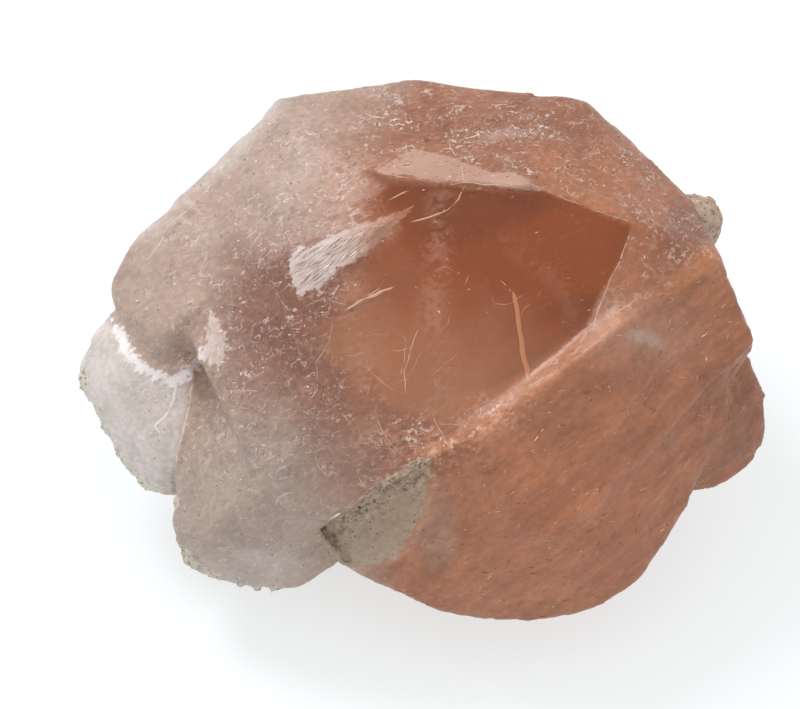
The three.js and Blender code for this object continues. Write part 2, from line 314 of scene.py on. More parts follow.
@dataclass
class StoneForm:
    """The lumps and hollows of the stone, the same as in the frame's solid."""

    face_lean: float = 55.0
    rest_height: float = 13.4
    crisp: float = 0.14
    worn: float = 0.32
    seam: float = 0.18
    uneven: float = 0.05
    window_depth: float = 10.4
    lobe_step: float = 1.6
    end: float = 24.45

    def crystal(self) -> Block:
        """The main crystal, with its clear window and its flat prism faces."""
        return Block(
            self.crisp,
            faces(
                (4.5, 3, self.window_depth, 0.03, 0.08, 1), (4, 11.3, 10.0, 0.03, 0.8, 0.6),
                (8.3, 11.0, 9.9, 0.27, 0.73, 0.63), (14.7, 8.75, 9.7, 0.54, 0.68, 0.5),
                (14.65, 8.75, 9.64, 0.36, -0.07, 1), (-7, 8.5, 9.6, -0.3, 0.42, 0.86),
                (-13.5, 8.5, 5.8, -0.58, 0.45, 0.68), (-13.5, 2, 7.6, -0.6, 0.04, 0.8),
                (-6, -5.5, 9.9, -0.2, -0.22, 0.95), (-5, 18.3, 2, -0.137, 0.985, -0.1),
                (6, 18.15, 2, 0.131, 0.986, -0.1), (15.15, 13.9, 2.5, 0.69, 0.71, -0.1),
                (20.3, 6.6, 5.5, 0.92, 0.39, -0.05), (-11.6, 17.1, 0, -0.55, 0.83, -0.05),
                (-14.1, 12.4, 0.5, -0.8, 0.6, 0.02), (-19.5, 4, -2, -0.93, 0.2, -0.3),
                (3, 13, -9.0, 0.1, 0.66, -0.75), (-9, 3, -11.0, -0.42, 0.16, -0.89),
                (9, 3, -12.4, 0.36, 0.08, -0.93), (16, 4, -8.0, 0.82, 0.1, -0.56),
                (-16, -3, -5.5, -0.62, -0.3, -0.72), (0, -7, -12.2, 0.02, -0.4, -0.92),
                (0, -12, -8, -0.1, -0.8, -0.6), (0, -13, 0, -0.1, -1, 0.1),
                (-14.8, -2.5, 0, -0.9, -0.43, 0.05), (14, -9, 0, 0.72, -0.69, 0.05),
            ),
        )

    def broad_lobe(self) -> Block:
        """The broad salmon lobe that stands proud of the window at the lower right."""
        front = self.window_depth + self.lobe_step
        outline = [
            (20.8, 6.4), (22.2, 3.4), (22.9, 0.9), (22.4, -1.6), (18.9, -10.4), (15.7, -15.5),
            (12.0, -18.2), (5.4, -19.3), (0.2, -18.5), (-2.9, -16.7), (-6.4, -15.1),
            (-9.5, -8.0), (-5.0, 4.0), (6.0, 13.5), (17.5, 10.5),
        ]
        return Block(
            self.worn,
            faces(
                (10.0, 0.3, front, 0.14, -0.2, 0.97), (8, -12.0, 11.2, 0.06, -0.56, 0.83),
                (15.5, -7.5, 9.7, 0.5, -0.42, 0.77), (18.0, 1.5, 9.0, 0.58, 0.08, 0.81),
                (10.6, -0.3, front - 0.5, -0.42, 0.6, 0.68), (8, -8, -10.5, 0.2, -0.4, -0.9),
                (17, -3, -7.5, 0.75, -0.25, -0.61),
            ),
            Rim(outline, w=3.2, front=45, back=30),
        )

    def right_bump(self) -> Block:
        """The bump at the stone's right end."""
        outline = [
            (14, 6.0), (22.7, 0.2), (24.0, -2.9), (self.end, -4.9), (24.2, -7.0), (22.8, -8.7),
            (18.8, -10.4), (10, -9),
        ]
        return Block(
            self.worn,
            faces(
                (20.5, -5, 6.4, 0.42, -0.1, 0.9), (19, -5, -6, 0.6, -0.2, -0.77),
            ),
            Rim(outline, w=0.4, front=42, back=36),
        )

    def lower_lobe(self) -> Block:
        """The milky lobe at the lower left."""
        outline = [
            (-13.9, 3.0), (-4, 7), (0.5, -3), (-4.8, -14.1), (-8.6, -17.0), (-12.1, -16.8),
            (-16.4, -15.5), (-18.0, -12.6), (-17.9, -9.6), (-17.3, -6.2), (-16.2, -2.0),
        ]
        return Block(
            self.worn,
            faces(
                (-10, -7, 8.9, -0.2, -0.2, 0.96), (-11, -12.5, 7.0, -0.1, -0.56, 0.82),
                (-10, -9, -7.5, -0.25, -0.35, -0.9),
            ),
            Rim(outline, w=1.6, front=38, back=34),
        )

    def flange(self) -> Block:
        """The thin whitish flange at the stone's left end."""
        outline = [
            (-22.9, 1.9), (-21.2, 4.0), (-15, 4), (-11, -4), (-14, -9.5), (-17.4, -10.6),
            (-19.2, -10.4), (-21.0, -8.6), (-23.6, -4.3), (-self.end, -1.5),
        ]
        return Block(
            0.3,
            faces(
                (-18.5, -4, 2.6, -0.16, -0.1, 0.98), (-18, -4, -5.5, -0.35, -0.1, -0.93),
            ),
            Rim(outline, w=-1.6, front=34, back=38),
        )

    def nose(self) -> Block:
        """The rounded nose that overhangs the flange."""
        outline = [
            (-16.9, 10.4), (-9.5, 8.5), (-11.5, 2.5), (-14.2, 0.6), (-15.8, -0.7), (-17.3, -1.4),
            (-19.1, -0.8), (-20.4, 0.6), (-21.9, 3.0), (-22.0, 4.9), (-20.6, 7.8),
        ]
        return Block(
            0.25,
            faces(
                (-17, 3, 6.0, -0.46, 0.3, 0.83), (-17, 4, -5.5, -0.55, 0.1, -0.83),
            ),
            Rim(outline, w=2.6, front=30, back=28),
        )

    def shoulder_layer(self) -> Block:
        """The thin layer that shows behind the left shoulder's edge."""
        return Block(
            self.crisp,
            faces(
                (-17.1, 10.4, 0, -0.65, 0.76, -0.1), (-14.5, 13.9, 0, -0.83, 0.55, -0.1),
                (-12.9, 16.0, 0, -0.62, 0.78, -0.05), (-15, 11, 2.9, -0.3, 0.25, 0.92),
                (-15, 11, -4.5, -0.5, 0.4, -0.77), (-19.5, 6.5, 0, -0.97, -0.2, 0),
                (-10, 6, 0, 0.5, -0.86, 0), (-12.2, 14.6, 0, 0.9, 0.45, 0),
            ),
        )

    def window_ledge(self) -> Block:
        """The pale triangular facet that overhangs the window's top edge."""
        return Block(
            0.12,
            faces(
                (4, 11.3, 10.75, 0.0, 0.78, 0.62), (-3.4, 12.3, 10, -0.35, -0.93, 0.12),
                (2.7, 11.35, 10, -0.07, -0.98, 0.18), (8.3, 11.0, 10, 0.5, 0.86, 0.1),
                (-0.7, 14.2, 10, -0.5, 0.86, 0.1), (3, 12, 8, 0, 0, -1),
            ),
        )

    def silver_flake(self) -> Block:
        """The bright splinter that stands out of the middle of the face."""
        return Block(
            0.1,
            faces(
                (-6, 6.6, 10.75, -0.2, 0.12, 0.97), (-6.6, 7.6, 10, -0.33, 0.94, 0.2),
                (-9.1, 5.6, 10, -0.97, -0.15, 0.2), (-6.4, 4.9, 10, 0.45, -0.88, 0.2),
                (-2.2, 8.0, 10, 0.6, -0.2, 0.7), (-6, 6.6, 8, 0, 0, -1),
            ),
        )

    def hollows(self) -> list[Egg]:
        """Shell-shaped hollows where flakes broke away."""
        return [
            Egg((-22.6, -16.2, 3.0), (5.6, 6.2, 6.5)),
            Egg((6, 24.5, -12.5), (13, 10, 9)),
            Egg((-16, 14, -13.5), (10, 9, 7.5)),
            Egg((25.5, -2, -13), (9, 11, 8)),
            Egg((-6, -22, -9), (10, 8, 8)),
            Egg((14, 14.6, 13.1), (5.2, 4.2, 7)),
        ]

    def pocket(self) -> list[Face]:
        """The grey pocket's three walls."""
        return faces(
            (-1.2, -11.6, 6.6, 0.4, 0.42, -0.82), (-3.2, -9.85, 6, -0.49, 0.87, -0.05),
            (-6.4, -13.4, 6, -0.8, -0.6, -0.05),
        )

    def slow_waves(self, points: Array) -> Array:
        """The slow waves that keep any face from being quite flat."""
        u, v, w = points.T
        first = np.sin(0.71 * u + 0.43 * v + 1.3)
        second = np.sin(-0.52 * u + 0.83 * v + 0.37 * w + 0.4)
        third = np.sin(0.33 * u - 0.47 * v + 0.91 * w + 2.1)
        return self.uneven * (first + second + third)

    def up(self) -> Array:
        """The direction of up, in the face's axes."""
        lean = math.radians(self.face_lean)
        return np.array([0, math.cos(lean), math.sin(lean)])

    def cut_flat(self, outside: Array, points: Array) -> Array:
        """The distances of the points once the stone is cut off flat where it rests."""
        return np.maximum(outside, -points @ self.up() - self.rest_height)

    def distance(self, points: Array) -> Array:
        """Millimetres outside the smooth stone, before its fine relief."""
        lumps = [
            self.crystal(), self.broad_lobe(), self.right_bump(), self.lower_lobe(), self.flange(),
            self.nose(), self.shoulder_layer(), self.window_ledge(), self.silver_flake(),
            CRUST_LUMP,
        ]
        each = np.stack([-lump.distance(points) for lump in lumps], axis=1)
        joined = -rounded_max(each, self.seam)
        looks, reach = planes(self.pocket())
        notch = (points @ looks.T - reach).max(axis=1)
        result = np.maximum(joined, -notch)
        for hollow in self.hollows():
            result = np.maximum(result, -hollow.distance(points))
        return result + self.slow_waves(points)


# Where each kind of surface lies on the stone


class Zone(Enum):
    """Outlines on the broad face, in millimetres across and up."""

    WINDOW = (
        (-3.4, 12.2), (-0.8, 11.8), (1.1, 11.4), (8.3, 11.0), (11.2, 10.1), (14.5, 8.6),
        (13.8, 6.5), (12.3, 4.0), (11.2, 1.2), (7.4, -2.3), (4.3, -4.0), (1.2, -5.6),
        (-4.4, -5.0), (-7.2, -0.6), (-6.5, 4.2), (-4.0, 6.7), (-2.4, 8.6), (-4.2, 10.4),
    )
    FLAKE = (
        (-9.26, 6.25), (-8.47, 7.3), (-7.94, 7.1), (-6.6, 7.8), (-4.2, 8.7), (-0.6, 9.9),
        (-2.3, 8.2), (-3.9, 6.5), (-5.9, 5.6), (-7.15, 4.1), (-7.8, 4.25), (-8.47, 3.5),
        (-9.0, 4.9),
    )
    LEDGE = (
        (-3.4, 12.3), (-0.76, 14.0), (1.8, 13.4), (4.6, 12.3), (6.3, 12.3), (8.4, 11.0),
        (6.7, 11.0), (3.2, 11.5), (1.0, 11.55), (-0.9, 12.0),
    )
    GREY_PATCH = (
        (-7.3, -12.3), (-5.7, -11.2), (-2.5, -8.7), (-0.76, -7.5), (0.65, -7.2), (0.28, -9.1),
        (-0.1, -11.0), (-1.3, -13.3), (-1.8, -14.3), (-4.0, -14.9), (-6.1, -14.9), (-7.0, -13.9),
    )
    FLAKY = (
        (-21.9, 2.3), (-20.7, 1.5), (-20.1, 0.1), (-19.0, -1.1), (-17.4, -1.7), (-16.2, -1.0),
        (-15.0, 0.4), (-14.7, 2.8), (-13.8, 1.5), (-13.3, 0.1), (-14.0, -1.2), (-15.1, -0.6),
        (-16.0, -1.6), (-17.0, -2.6), (-18.3, -2.0), (-19.7, -1.5), (-20.9, -0.1),
    )
    FLANGE = (
        (-26, 4), (-21.9, 2.3), (-20.7, 1.5), (-20.1, 0.1), (-19.0, -1.1), (-17.4, -1.7),
        (-16.2, -1.0), (-16.3, -3.6), (-16.7, -5.5), (-17.2, -8.5), (-17.4, -10.8), (-26, -12),
    )
    LOBE = (
        (20.6, 7.6), (17.6, 4.8), (13.3, 2.3), (9.2, -0.9), (6.1, -3.6), (3.6, -5.4),
        (0.9, -7.0), (0.3, -9.5), (-1.2, -13.6), (-6.0, -15.6), (0, -23), (14, -23),
        (27, -12), (27, 6),
    )


def in_zone(zone: Zone, points: Array) -> Array:
    """How many millimetres each point lies inside a zone, less than 0 outside it."""
    return inside(list(zone.value), points)


def on_lobe(points: Array) -> Array:
    """How far each point lies on the broad salmon lobe, 0 to 1."""
    return smooth(-0.4, 1.0, in_zone(Zone.LOBE, points))


def lines(*rows: tuple[float, list[Point]]) -> list[Line]:
    """Lines out of rows of half a width and a path."""
    return [Line(path, wide) for wide, path in rows]


@dataclass(frozen=True)
class Line:
    """A healed crack, a ridge or a tube that shows as a line: its path and half its width."""

    path: list[Point]
    wide: float


RIDGES: list[Line] = lines(
    (0.05, [(-14.3, 11.8), (-15.6, 10.5), (-16.6, 9.5), (-17.8, 8.4), (-18.3, 7.3), (-19.0, 6.2)]),
    (0.12, [(-16.9, -1.9), (-17.2, -3.4), (-17.8, -4.6), (-18.5, -5.2), (-17.8, -6.4)]),
    (0.1, [(-15.9, -2.2), (-16.1, -3.6), (-16.5, -5.2), (-16.9, -6.4), (-17.1, -8.4)]),
    (0.14, [(-7.3, -12.3), (-6.3, -11.5), (-5.1, -10.9)]),
)
PALE_LINES: list[Line] = lines(
    (0.05, [(1.9, 16.2), (2.0, 15.0), (1.8, 14.2), (2.5, 12.8), (2.9, 11.6)]),
    (0.05, [(2.9, 11.6), (2.4, 10.4), (1.7, 9.7), (0.6, 9.2), (-0.9, 8.8)]),
    (0.03, [(2.9, 11.6), (4.0, 12.1), (4.9, 13.0)]),
    (0.06, [(-0.8, 11.9), (-0.7, 11.1), (-1.5, 10.7), (-2.4, 10.3)]),
    (0.04, [(14.2, 8.2), (13.4, 6.0), (12.6, 4.4), (11.9, 2.8), (11.6, 1.2)]),
    (0.035, [(-3.3, 12.2), (-0.8, 11.9), (1.1, 11.45), (2.9, 11.55), (8.3, 11.0)]),
    (0.025, [(8.3, 11.0), (11.2, 9.9), (14.6, 8.7)]),
    (0.025, [(-3.4, 12.3), (-2.2, 13.4), (-0.8, 14.1)]),
    (0.025, [(-5.1, -10.9), (-3.4, -9.2), (-1.6, -8.0), (0.2, -7.2)]),
    (0.09, [(-5.4, 2.75), (-4.4, 3.3), (-3.2, 3.9), (-1.9, 4.5)]),
    (0.03, [(-4.2, 3.6), (-3.1, 4.3), (-2.6, 5.0)]),
    (0.035, [(-6.6, 5.6), (-5.8, 4.4), (-6.4, 3.4), (-5.2, 3.2)]),
    (0.03, [(-6.2, 2.1), (-6.4, 0.6), (-7.4, -0.8), (-7.2, -2.6)]),
    (0.035, [(-0.3, 1.6), (-0.9, 0.0), (-1.3, -1.6), (-1.2, -3.0)]),
    (0.04, [(0.6, -4.2), (1.2, -5.6), (2.2, -7.2)]),
    (0.035, [(-3.2, -4.6), (-2.2, -6.4), (-1.4, -7.2)]),
    (0.04, [(5.3, 4.9), (5.7, 4.4), (6.1, 3.9)]),
    (0.03, [(-10.6, 9.1), (-11.6, 7.4), (-12.1, 6.6)]),
)
TUBES: list[Line] = [Line([(6.1, 4.1), (6.3, 3.1), (6.55, 1.4), (6.8, -0.3), (7.35, -2.2)], 0.2)]
DARK_CRACKS_AND_SHADOW_LINE: list[Line] = lines(
    (0.045, [(-6.5, 2.2), (-5.5, 2.5), (-4.4, 3.0), (-3.4, 3.5)]),
    (0.03, [(-14.1, 5.8), (-13.5, 6.1), (-12.6, 5.9), (-12.2, 5.6)]),
    (0.03, [(-12.2, -4.2), (-11.2, -4.3), (-10.6, -4.9)]),
    (0.03, [(22.1, -1.1), (20.7, -3.05), (19.6, -5.6)]),
    (0.06, [(5.75, 4.75), (5.9, 4.4)]),
    (0.02, [(0.7, -15.4), (1.6, -15.8), (2.5, -15.9)]),
    # Painted shadow: a dark line below the left shoulder's ridge, where the step edge casts shade.
    (0.02, [(-15.4, 9.9), (-16.5, 8.9), (-17.7, 7.8)]),
    (0.035, [(1.5, -7.0), (2.2, -7.9), (2.6, -8.6)]),
    (0.025, [(1.2, -10.2), (2.4, -9.6), (3.6, -8.6)]),
    (0.025, [(4.6, -8.4), (5.4, -7.6), (6.0, -7.2)]),
)
CRUST_EDGES: list[list[Point]] = [
    [(-23.9, -1.4), (-23.6, -3.0), (-22.4, -5.8), (-20.6, -8.5), (-19.0, -10.3), (-17.4, -10.4)],
    [(-17.7, -12.6), (-16.3, -15.0), (-14.4, -16.1), (-12.0, -16.8), (-9.1, -16.9)],
]


@dataclass(frozen=True)
class Veil:
    """A pale band of tiny bubbles inside the stone: its path, half its width and its strength."""

    path: list[Point]
    wide: float
    strength: float


HAZE: list[Veil] = [
    Veil([(1.2, 10.6), (0.8, 6.0), (0.6, 2.0), (1.6, -1.5), (0.8, -5.5)], 1.5, 0.55),
    Veil([(-5.0, 4.6), (-4.2, 0.6), (-3.2, -3.4)], 2.0, 0.5),
    Veil([(5.6, 7.6), (9.6, 4.2), (10.6, 1.2)], 1.1, 0.18),
    Veil([(-4, -6), (2, -6.8), (7, -3.6)], 1.8, 0.5),
]


class Tone(Enum):
    """The looks of the stone's body: an sRGB colour, and how much light passes into it."""

    SALMON = ("#ae7353", 0.3)
    MILKY = ("#bca496", 0.3)
    CLOUDY = ("#a99a8f", 0.25)
    STAINED = ("#8c614f", 0.45)
    FROSTED = ("#ccc2bc", 0.12)


@dataclass(frozen=True)
class Blush:
    """A soft patch of one tone: its middle and reach across and up, and how much of it shows."""

    tone: Tone
    middle: Point
    reach: Point
    share: float


@dataclass(frozen=True)
class Crowd:
    """A part crowded with small splinters: its middle and reach, and how thick they lie."""

    middle: Point
    reach: Point
    thick: float

    def share(self, points: Array) -> Array:
        """How thick the splinters lie at each point."""
        across = (points[:, 0] - self.middle[0]) / self.reach[0]
        up = (points[:, 1] - self.middle[1]) / self.reach[1]
        return self.thick * np.exp(-(across**2) - up**2)


# Threads in the window take on the colour that the clear part shows.
IN_WINDOW = "#b06c42"
MILKY_EDGE: list[Point] = [(-3.5, 19), (-5, 13), (-7.5, 6), (-8, -1), (-5.5, -6), (-3.5, -10), (-5, -16)]
TONE_PATCHES_AND_EDGE_LIGHT: list[Blush] = [
    Blush(Tone.CLOUDY, (-12, -12), (8.5, 7.5), 0.8),
    # Painted light: the lower lobe's bottom edge leans down into shade, and this frosted patch lightens
    # it.
    Blush(Tone.FROSTED, (-12, -15.6), (5, 2.2), 0.35),
    Blush(Tone.STAINED, (-8.6, 2.2), (5.6, 6.5), 0.85),
    Blush(Tone.STAINED, (-3.6, -7.0), (5.0, 4.2), 0.5),
    Blush(Tone.STAINED, (5.0, 15.6), (10, 3.4), 0.3),
    Blush(Tone.FROSTED, (5.6, 15.3), (2.2, 0.8), 0.25),
    Blush(Tone.FROSTED, (-2.7, 18.0), (2.0, 0.7), 0.25),
    Blush(Tone.MILKY, (15.8, 1.0), (1.0, 0.6), 0.75),
    Blush(Tone.MILKY, (13.5, 1.5), (5.5, 2.6), 0.22),
    Blush(Tone.STAINED, (22.6, -5.5), (2.8, 5.2), 0.3),
    Blush(Tone.STAINED, (18.8, 9.0), (2.4, 2.4), 0.6),
    Blush(Tone.CLOUDY, (0.8, -12.0), (1.8, 2.8), 0.3),
]
CROWDS: list[Crowd] = [
    Crowd((-8.5, 2), (5.5, 7), 1.0),
    Crowd((3, 15), (12, 3), 1.0),
    Crowd((17, 9), (5, 4), 0.6),
    Crowd((-2, -5), (6, 3), 0.9),
    Crowd((-14.5, 7), (3, 2.6), 0.75),
    Crowd((-15, -3), (5, 6), 0.45),
]
# Painted light: a pale band along the thin upper-left rim, where light shines through the edge.
PAINTED_RIM_LIGHT: list[Point] = [(-10.5, 17.2), (-14.2, 13.6), (-17.2, 10.6), (-20.2, 7.8)]


@dataclass
class SurfaceMap:
    """How milky, crusted, etched and coloured the stone is at each place."""

    fibre_angle: float = 38.0
    milky_soft: float = 4.5
    everywhere: float = 0.2
    flaky_down_to: float = -6.0
    others_down_to: float = -1.0
    not_in: float = -3.0

    def fibre_axes(self, points: Array) -> Array:
        """The points in axes that run along the fibres, across them, and out."""
        angle = math.radians(self.fibre_angle)
        c, s = math.cos(angle), math.sin(angle)
        u, v, w = points.T
        return np.column_stack([c * u + s * v, -s * u + c * v, w])

    def is_front(self, points: Array) -> Array:
        """1 on the broad face's side of the stone, fading to 0 behind its rim."""
        return smooth(0.5, 3.5, points[:, 2])

    def crust(self, points: Array) -> Array:
        """How far the dark-specked crust covers each place, 0 to 1."""
        w = points[:, 2]
        lump = smooth(0.6, -0.3, CRUST_LUMP.distance(points))
        edges = np.min([line_distance(path, points) for path in CRUST_EDGES], axis=0)
        rims = smooth(1.0, 0.15, edges + 0.35 * waves(points, 1.3, 72)) * smooth(-5, -3, w)
        seen_through = smooth(-4.0, -1.0, in_zone(Zone.WINDOW, points))
        behind = 0.75 * smooth(0.3, 0.6, waves(points, 6.0, 71)) * smooth(-3, -6, w)
        behind *= 1 - seen_through
        return np.clip(lump + rims + behind, 0, 1)

    def etched(self, points: Array) -> Array:
        """How thickly small splinters and glints cover each place, 0 to 1."""
        clear = smooth(-0.5, 1.5, in_zone(Zone.WINDOW, points)) * self.is_front(points)
        patchy = 0.6 + 0.5 * waves(points, 2.0, 12)
        spread = sum(crowd.share(points) for crowd in CROWDS) + self.everywhere
        return np.clip(spread * patchy * (1 - 0.85 * clear), 0, 1)

    def haze(self, points: Array) -> Array:
        """How thick the pale inner veils are at each place, 0 to 1."""
        thick = np.zeros(len(points))
        for veil in HAZE:
            near = smooth(veil.wide, 0, line_distance(veil.path, points))
            thick = np.maximum(thick, veil.strength * near)
        return thick * self.is_front(points)

    def relief(self, points: Array) -> Array:
        """How far the fine relief raises each place of the stone, in millimetres.

        Each term is a height in millimetres times a pattern of waves or facets, which takes
        the size of a bump in millimetres and the pattern's seed.
        """
        front = self.is_front(points)
        back = 1 - front
        fibres = self.fibre_axes(points)
        lobe = on_lobe(points)
        window = smooth(-0.2, 0.6, in_zone(Zone.WINDOW, points)) * front
        flake = smooth(-0.1, 0.2, in_zone(Zone.FLAKE, points)) * front
        patch = smooth(-0.3, 0.3, in_zone(Zone.GREY_PATCH, points)) * front
        rough = (1 - window) * (1 - flake)
        height = 0.06 * waves(points, 5.0, 1) + rough * 0.07 * waves(points, 2.2, 2)
        height += rough * (0.03 + 0.11 * self.etched(points)) * chips(points, 1.25, 20)
        height += lobe * 0.09 * waves(fibres, (4.2, 0.85, 1.2), 3)
        height += lobe * 0.05 * waves(fibres, (2.0, 0.6, 0.8), 4)
        height += lobe * 0.07 * chips(fibres, (2.4, 1.1, 1.4), 80)
        height += flake * 0.045 * waves(fibres, (6.0, 0.62, 3.0), 5)
        height += self.crust(points) * 0.26 * chips(points, 0.8, 40)
        height += patch * 0.16 * chips(points, 0.75, 50)
        terraces = np.round(2.5 * waves(points, (9.0, 6.5, 7.0), 6)) / 2.5
        behind = smooth(0.0, -4.0, points[:, 2])
        height += behind * 0.3 * (terraces - 0.6) + back * 0.12 * chips(points, 2.8, 60)
        for crack in DARK_CRACKS_AND_SHADOW_LINE:
            near = smooth(0.3, 0.0, line_distance(crack.path, points))
            height -= 0.14 * near * front
        for ridge in RIDGES:
            near = smooth(0.4, 0.0, line_distance(ridge.path, points))
            height += 0.07 * near * (0.6 + 0.6 * waves(points, 0.9, 81)) * front
        flaky = smooth(-0.2, 0.3, in_zone(Zone.FLAKY, points)) * front
        height += flaky * (0.06 + 0.12 * chips(points, 0.9, 85))
        dish = np.hypot((points[:, 0] - 15.8) / 1.1, (points[:, 1] - 1.0) / 0.7)
        return height - 0.18 * smooth(1.1, 0.2, dish) * front

    def colour(self, points: Array) -> Array:
        """The stone's colour away from its window in linear light, with painted light on thin edges, and
        how clear it is.
        """

        def look(tone: Tone) -> Array:
            shade, clear = tone.value
            return np.array([*linear(shade)[:3], clear])

        bent = points + 1.3 * np.column_stack([waves(points, 3.5, seed) for seed in (31, 32, 35)])
        salmon = smooth(-self.milky_soft, self.milky_soft, line_side(MILKY_EDGE, bent))[:, None]
        mixed = (1 - salmon) * look(Tone.MILKY) + salmon * look(Tone.SALMON)
        for blush in TONE_PATCHES_AND_EDGE_LIGHT:
            away = (bent[:, :2] - np.array(blush.middle)) / np.array(blush.reach)
            share = blush.share * smooth(1.4, 0.5, np.linalg.norm(away, axis=1))[:, None]
            mixed = (1 - share) * mixed + share * look(blush.tone)
        flange = smooth(-0.25, 0.4, in_zone(Zone.FLANGE, points))
        # Painted light: the thin upper-left rim is lightened towards the frosted tone.
        rim = 0.7 * smooth(2.0, 0.2, line_distance(PAINTED_RIM_LIGHT, bent))
        share = np.maximum(flange, rim)[:, None]
        return (1 - share) * mixed + share * look(Tone.FROSTED)

    def window(self, points: Array) -> Array:
        """How far the clear window covers each place, crisp above and soft to the lower left."""
        u, v, _ = points.T
        soft = 0.25 + 2.6 * smooth(0.5, -4.5, u) + 1.8 * smooth(0.5, -3.5, v)
        within = in_zone(Zone.WINDOW, points) + 0.5 * soft * waves(points, 1.6, 33)
        return smooth(-0.1, 1, within / soft) * self.is_front(points)

    def attributes(self, points: Array) -> dict[str, Array]:
        """What the skin's finish reads at each point.

        Args:
            points: the skin's points in millimetres.

        Returns:
            Values or rows of three for each attribute's name. Distances are in millimetres.
        """
        w = points[:, 2]
        own = self.colour(points)
        made = {
            "face_place": points,
            "own_colour": own[:, :3],
            "clear": own[:, 3],
            "window": self.window(points),
            "crust": self.crust(points),
            "etched": self.etched(points),
            "haze": self.haze(points),
            "behind": smooth(-1.5, -6.0, points[:, 2]),
            "lobe_in": in_zone(Zone.LOBE, points),
        }
        outlines = {
            "flake_in": Zone.FLAKE,
            "ledge_in": Zone.LEDGE,
            "patch_in": Zone.GREY_PATCH,
            "flaky_in": Zone.FLAKY,
        }
        for name, zone in outlines.items():
            deepest = self.flaky_down_to if zone is Zone.FLAKY else self.others_down_to
            made[name] = np.where(w > deepest, in_zone(zone, points), self.not_in)
        return made


# The fine skin


@dataclass
class FineSkin:
    """One closed skin wrapped round the stone with its fine relief."""

    form: StoneForm
    surface: SurfaceMap
    cell: float = 0.29
    coarse: int = 4
    most_relief: float = 0.7
    low: Place = (-26.0, -21.0, -17.0)
    high: Place = (26.0, 21.0, 15.0)

    def distance(self, points: Array) -> Array:
        """Millimetres outside the stone, with its relief and its flat spot."""
        bare = self.form.distance(points)
        close = np.abs(bare) < self.most_relief
        bare[close] -= self.surface.relief(points[close])
        return self.form.cut_flat(bare, points)

    def in_parts(self, points: Array) -> Array:
        """The distance of many points, worked out a part at a time to save memory."""
        parts = np.array_split(points, max(1, len(points) // 60000))
        return np.concatenate([self.distance(part) for part in parts])

    def grid_values(self) -> Array:
        """The distance at each grid point near the skin, and only its sign elsewhere."""
        span = np.array(self.high) - np.array(self.low)
        blocks = np.ceil(span / (self.cell * self.coarse)).astype(int)
        axes = [
            self.low[k] + self.cell * self.coarse * (np.arange(blocks[k]) + 0.5) for k in range(3)
        ]
        middles = np.stack(np.meshgrid(*axes, indexing="ij"), axis=-1).reshape(-1, 3)
        rough = self.form.cut_flat(self.form.distance(middles), middles).reshape(blocks)
        near = np.abs(rough) < self.cell * self.coarse * 0.87 + self.most_relief
        values = np.where(rough < 0, -1.0, 1.0)
        for axis in range(3):
            values = np.repeat(values, self.coarse, axis=axis)
            near = np.repeat(near, self.coarse, axis=axis)
        where = np.argwhere(near)
        places = np.array(self.low) + self.cell * (where + 0.5)
        values[near] = self.in_parts(places)
        return values

    def wrap(self) -> tuple[Array, Array]:
        """Makes the skin's points and its squares.

        Returns:
            The points in millimetres, and four point numbers for each square.
        """
        values = self.grid_values()
        size = values.shape
        is_in = values < 0
        count = np.zeros(np.array(size) - 1, int)
        for corner in np.ndindex(2, 2, 2):
            count += is_in[tuple(slice(c, n - 1 + c) for c, n in zip(corner, size))]
        cells = np.argwhere((count > 0) & (count < 8))
        number = np.full(count.shape, -1)
        number[tuple(cells.T)] = np.arange(len(cells))

        total = np.zeros((len(cells), 3))
        crossings = np.zeros(len(cells))
        for axis in range(3):
            others = [k for k in range(3) if k != axis]
            for a, b in np.ndindex(2, 2):
                start = np.zeros(3, int)
                start[others[0]], start[others[1]] = a, b
                step = np.eye(3, dtype=int)[axis]
                first = values[tuple((cells + start).T)]
                last = values[tuple((cells + start + step).T)]
                crossed = (first < 0) != (last < 0)
                gap = np.where(crossed, first - last, 1)
                share = np.where(crossed, first / gap, 0)
                total += crossed[:, None] * (start + share[:, None] * step)
                crossings += crossed
        points = np.array(self.low) + self.cell * (cells + 0.5 + total / crossings[:, None])

        squares = []
        for axis in range(3):
            p, q = [(1, 2), (2, 0), (0, 1)][axis]
            inner = [slice(1, n - 1) for n in size]
            inner[axis] = slice(0, size[axis] - 1)
            ahead = list(inner)
            ahead[axis] = slice(1, size[axis])
            here, there = is_in[tuple(inner)], is_in[tuple(ahead)]
            edges = np.argwhere(here != there)
            goes_out = here[tuple(edges.T)]
            edges[:, p] += 1
            edges[:, q] += 1
            ring = []
            for dp, dq in ((-1, -1), (0, -1), (0, 0), (-1, 0)):
                beside = edges.copy()
                beside[:, p] += dp
                beside[:, q] += dq
                ring.append(number[tuple(beside.T)])
            square = np.stack(ring, axis=1)
            square[~goes_out] = square[~goes_out][:, ::-1]
            squares.append(square)
        return self.settled(points), np.concatenate(squares)

    def settled(self, points: Array) -> Array:
        """Draws the points onto the surface in one short move."""
        step = 0.06
        here = self.in_parts(points)
        slope = np.zeros_like(points)
        for axis in range(3):
            move = np.zeros(3)
            move[axis] = step
            slope[:, axis] = (self.in_parts(points + move) - here) / step
        steep = np.maximum(np.einsum("ij,ij->i", slope, slope), 0.3)
        reach = np.clip(here / steep, -0.4 * self.cell, 0.4 * self.cell)
        return points - reach[:, None] * slope


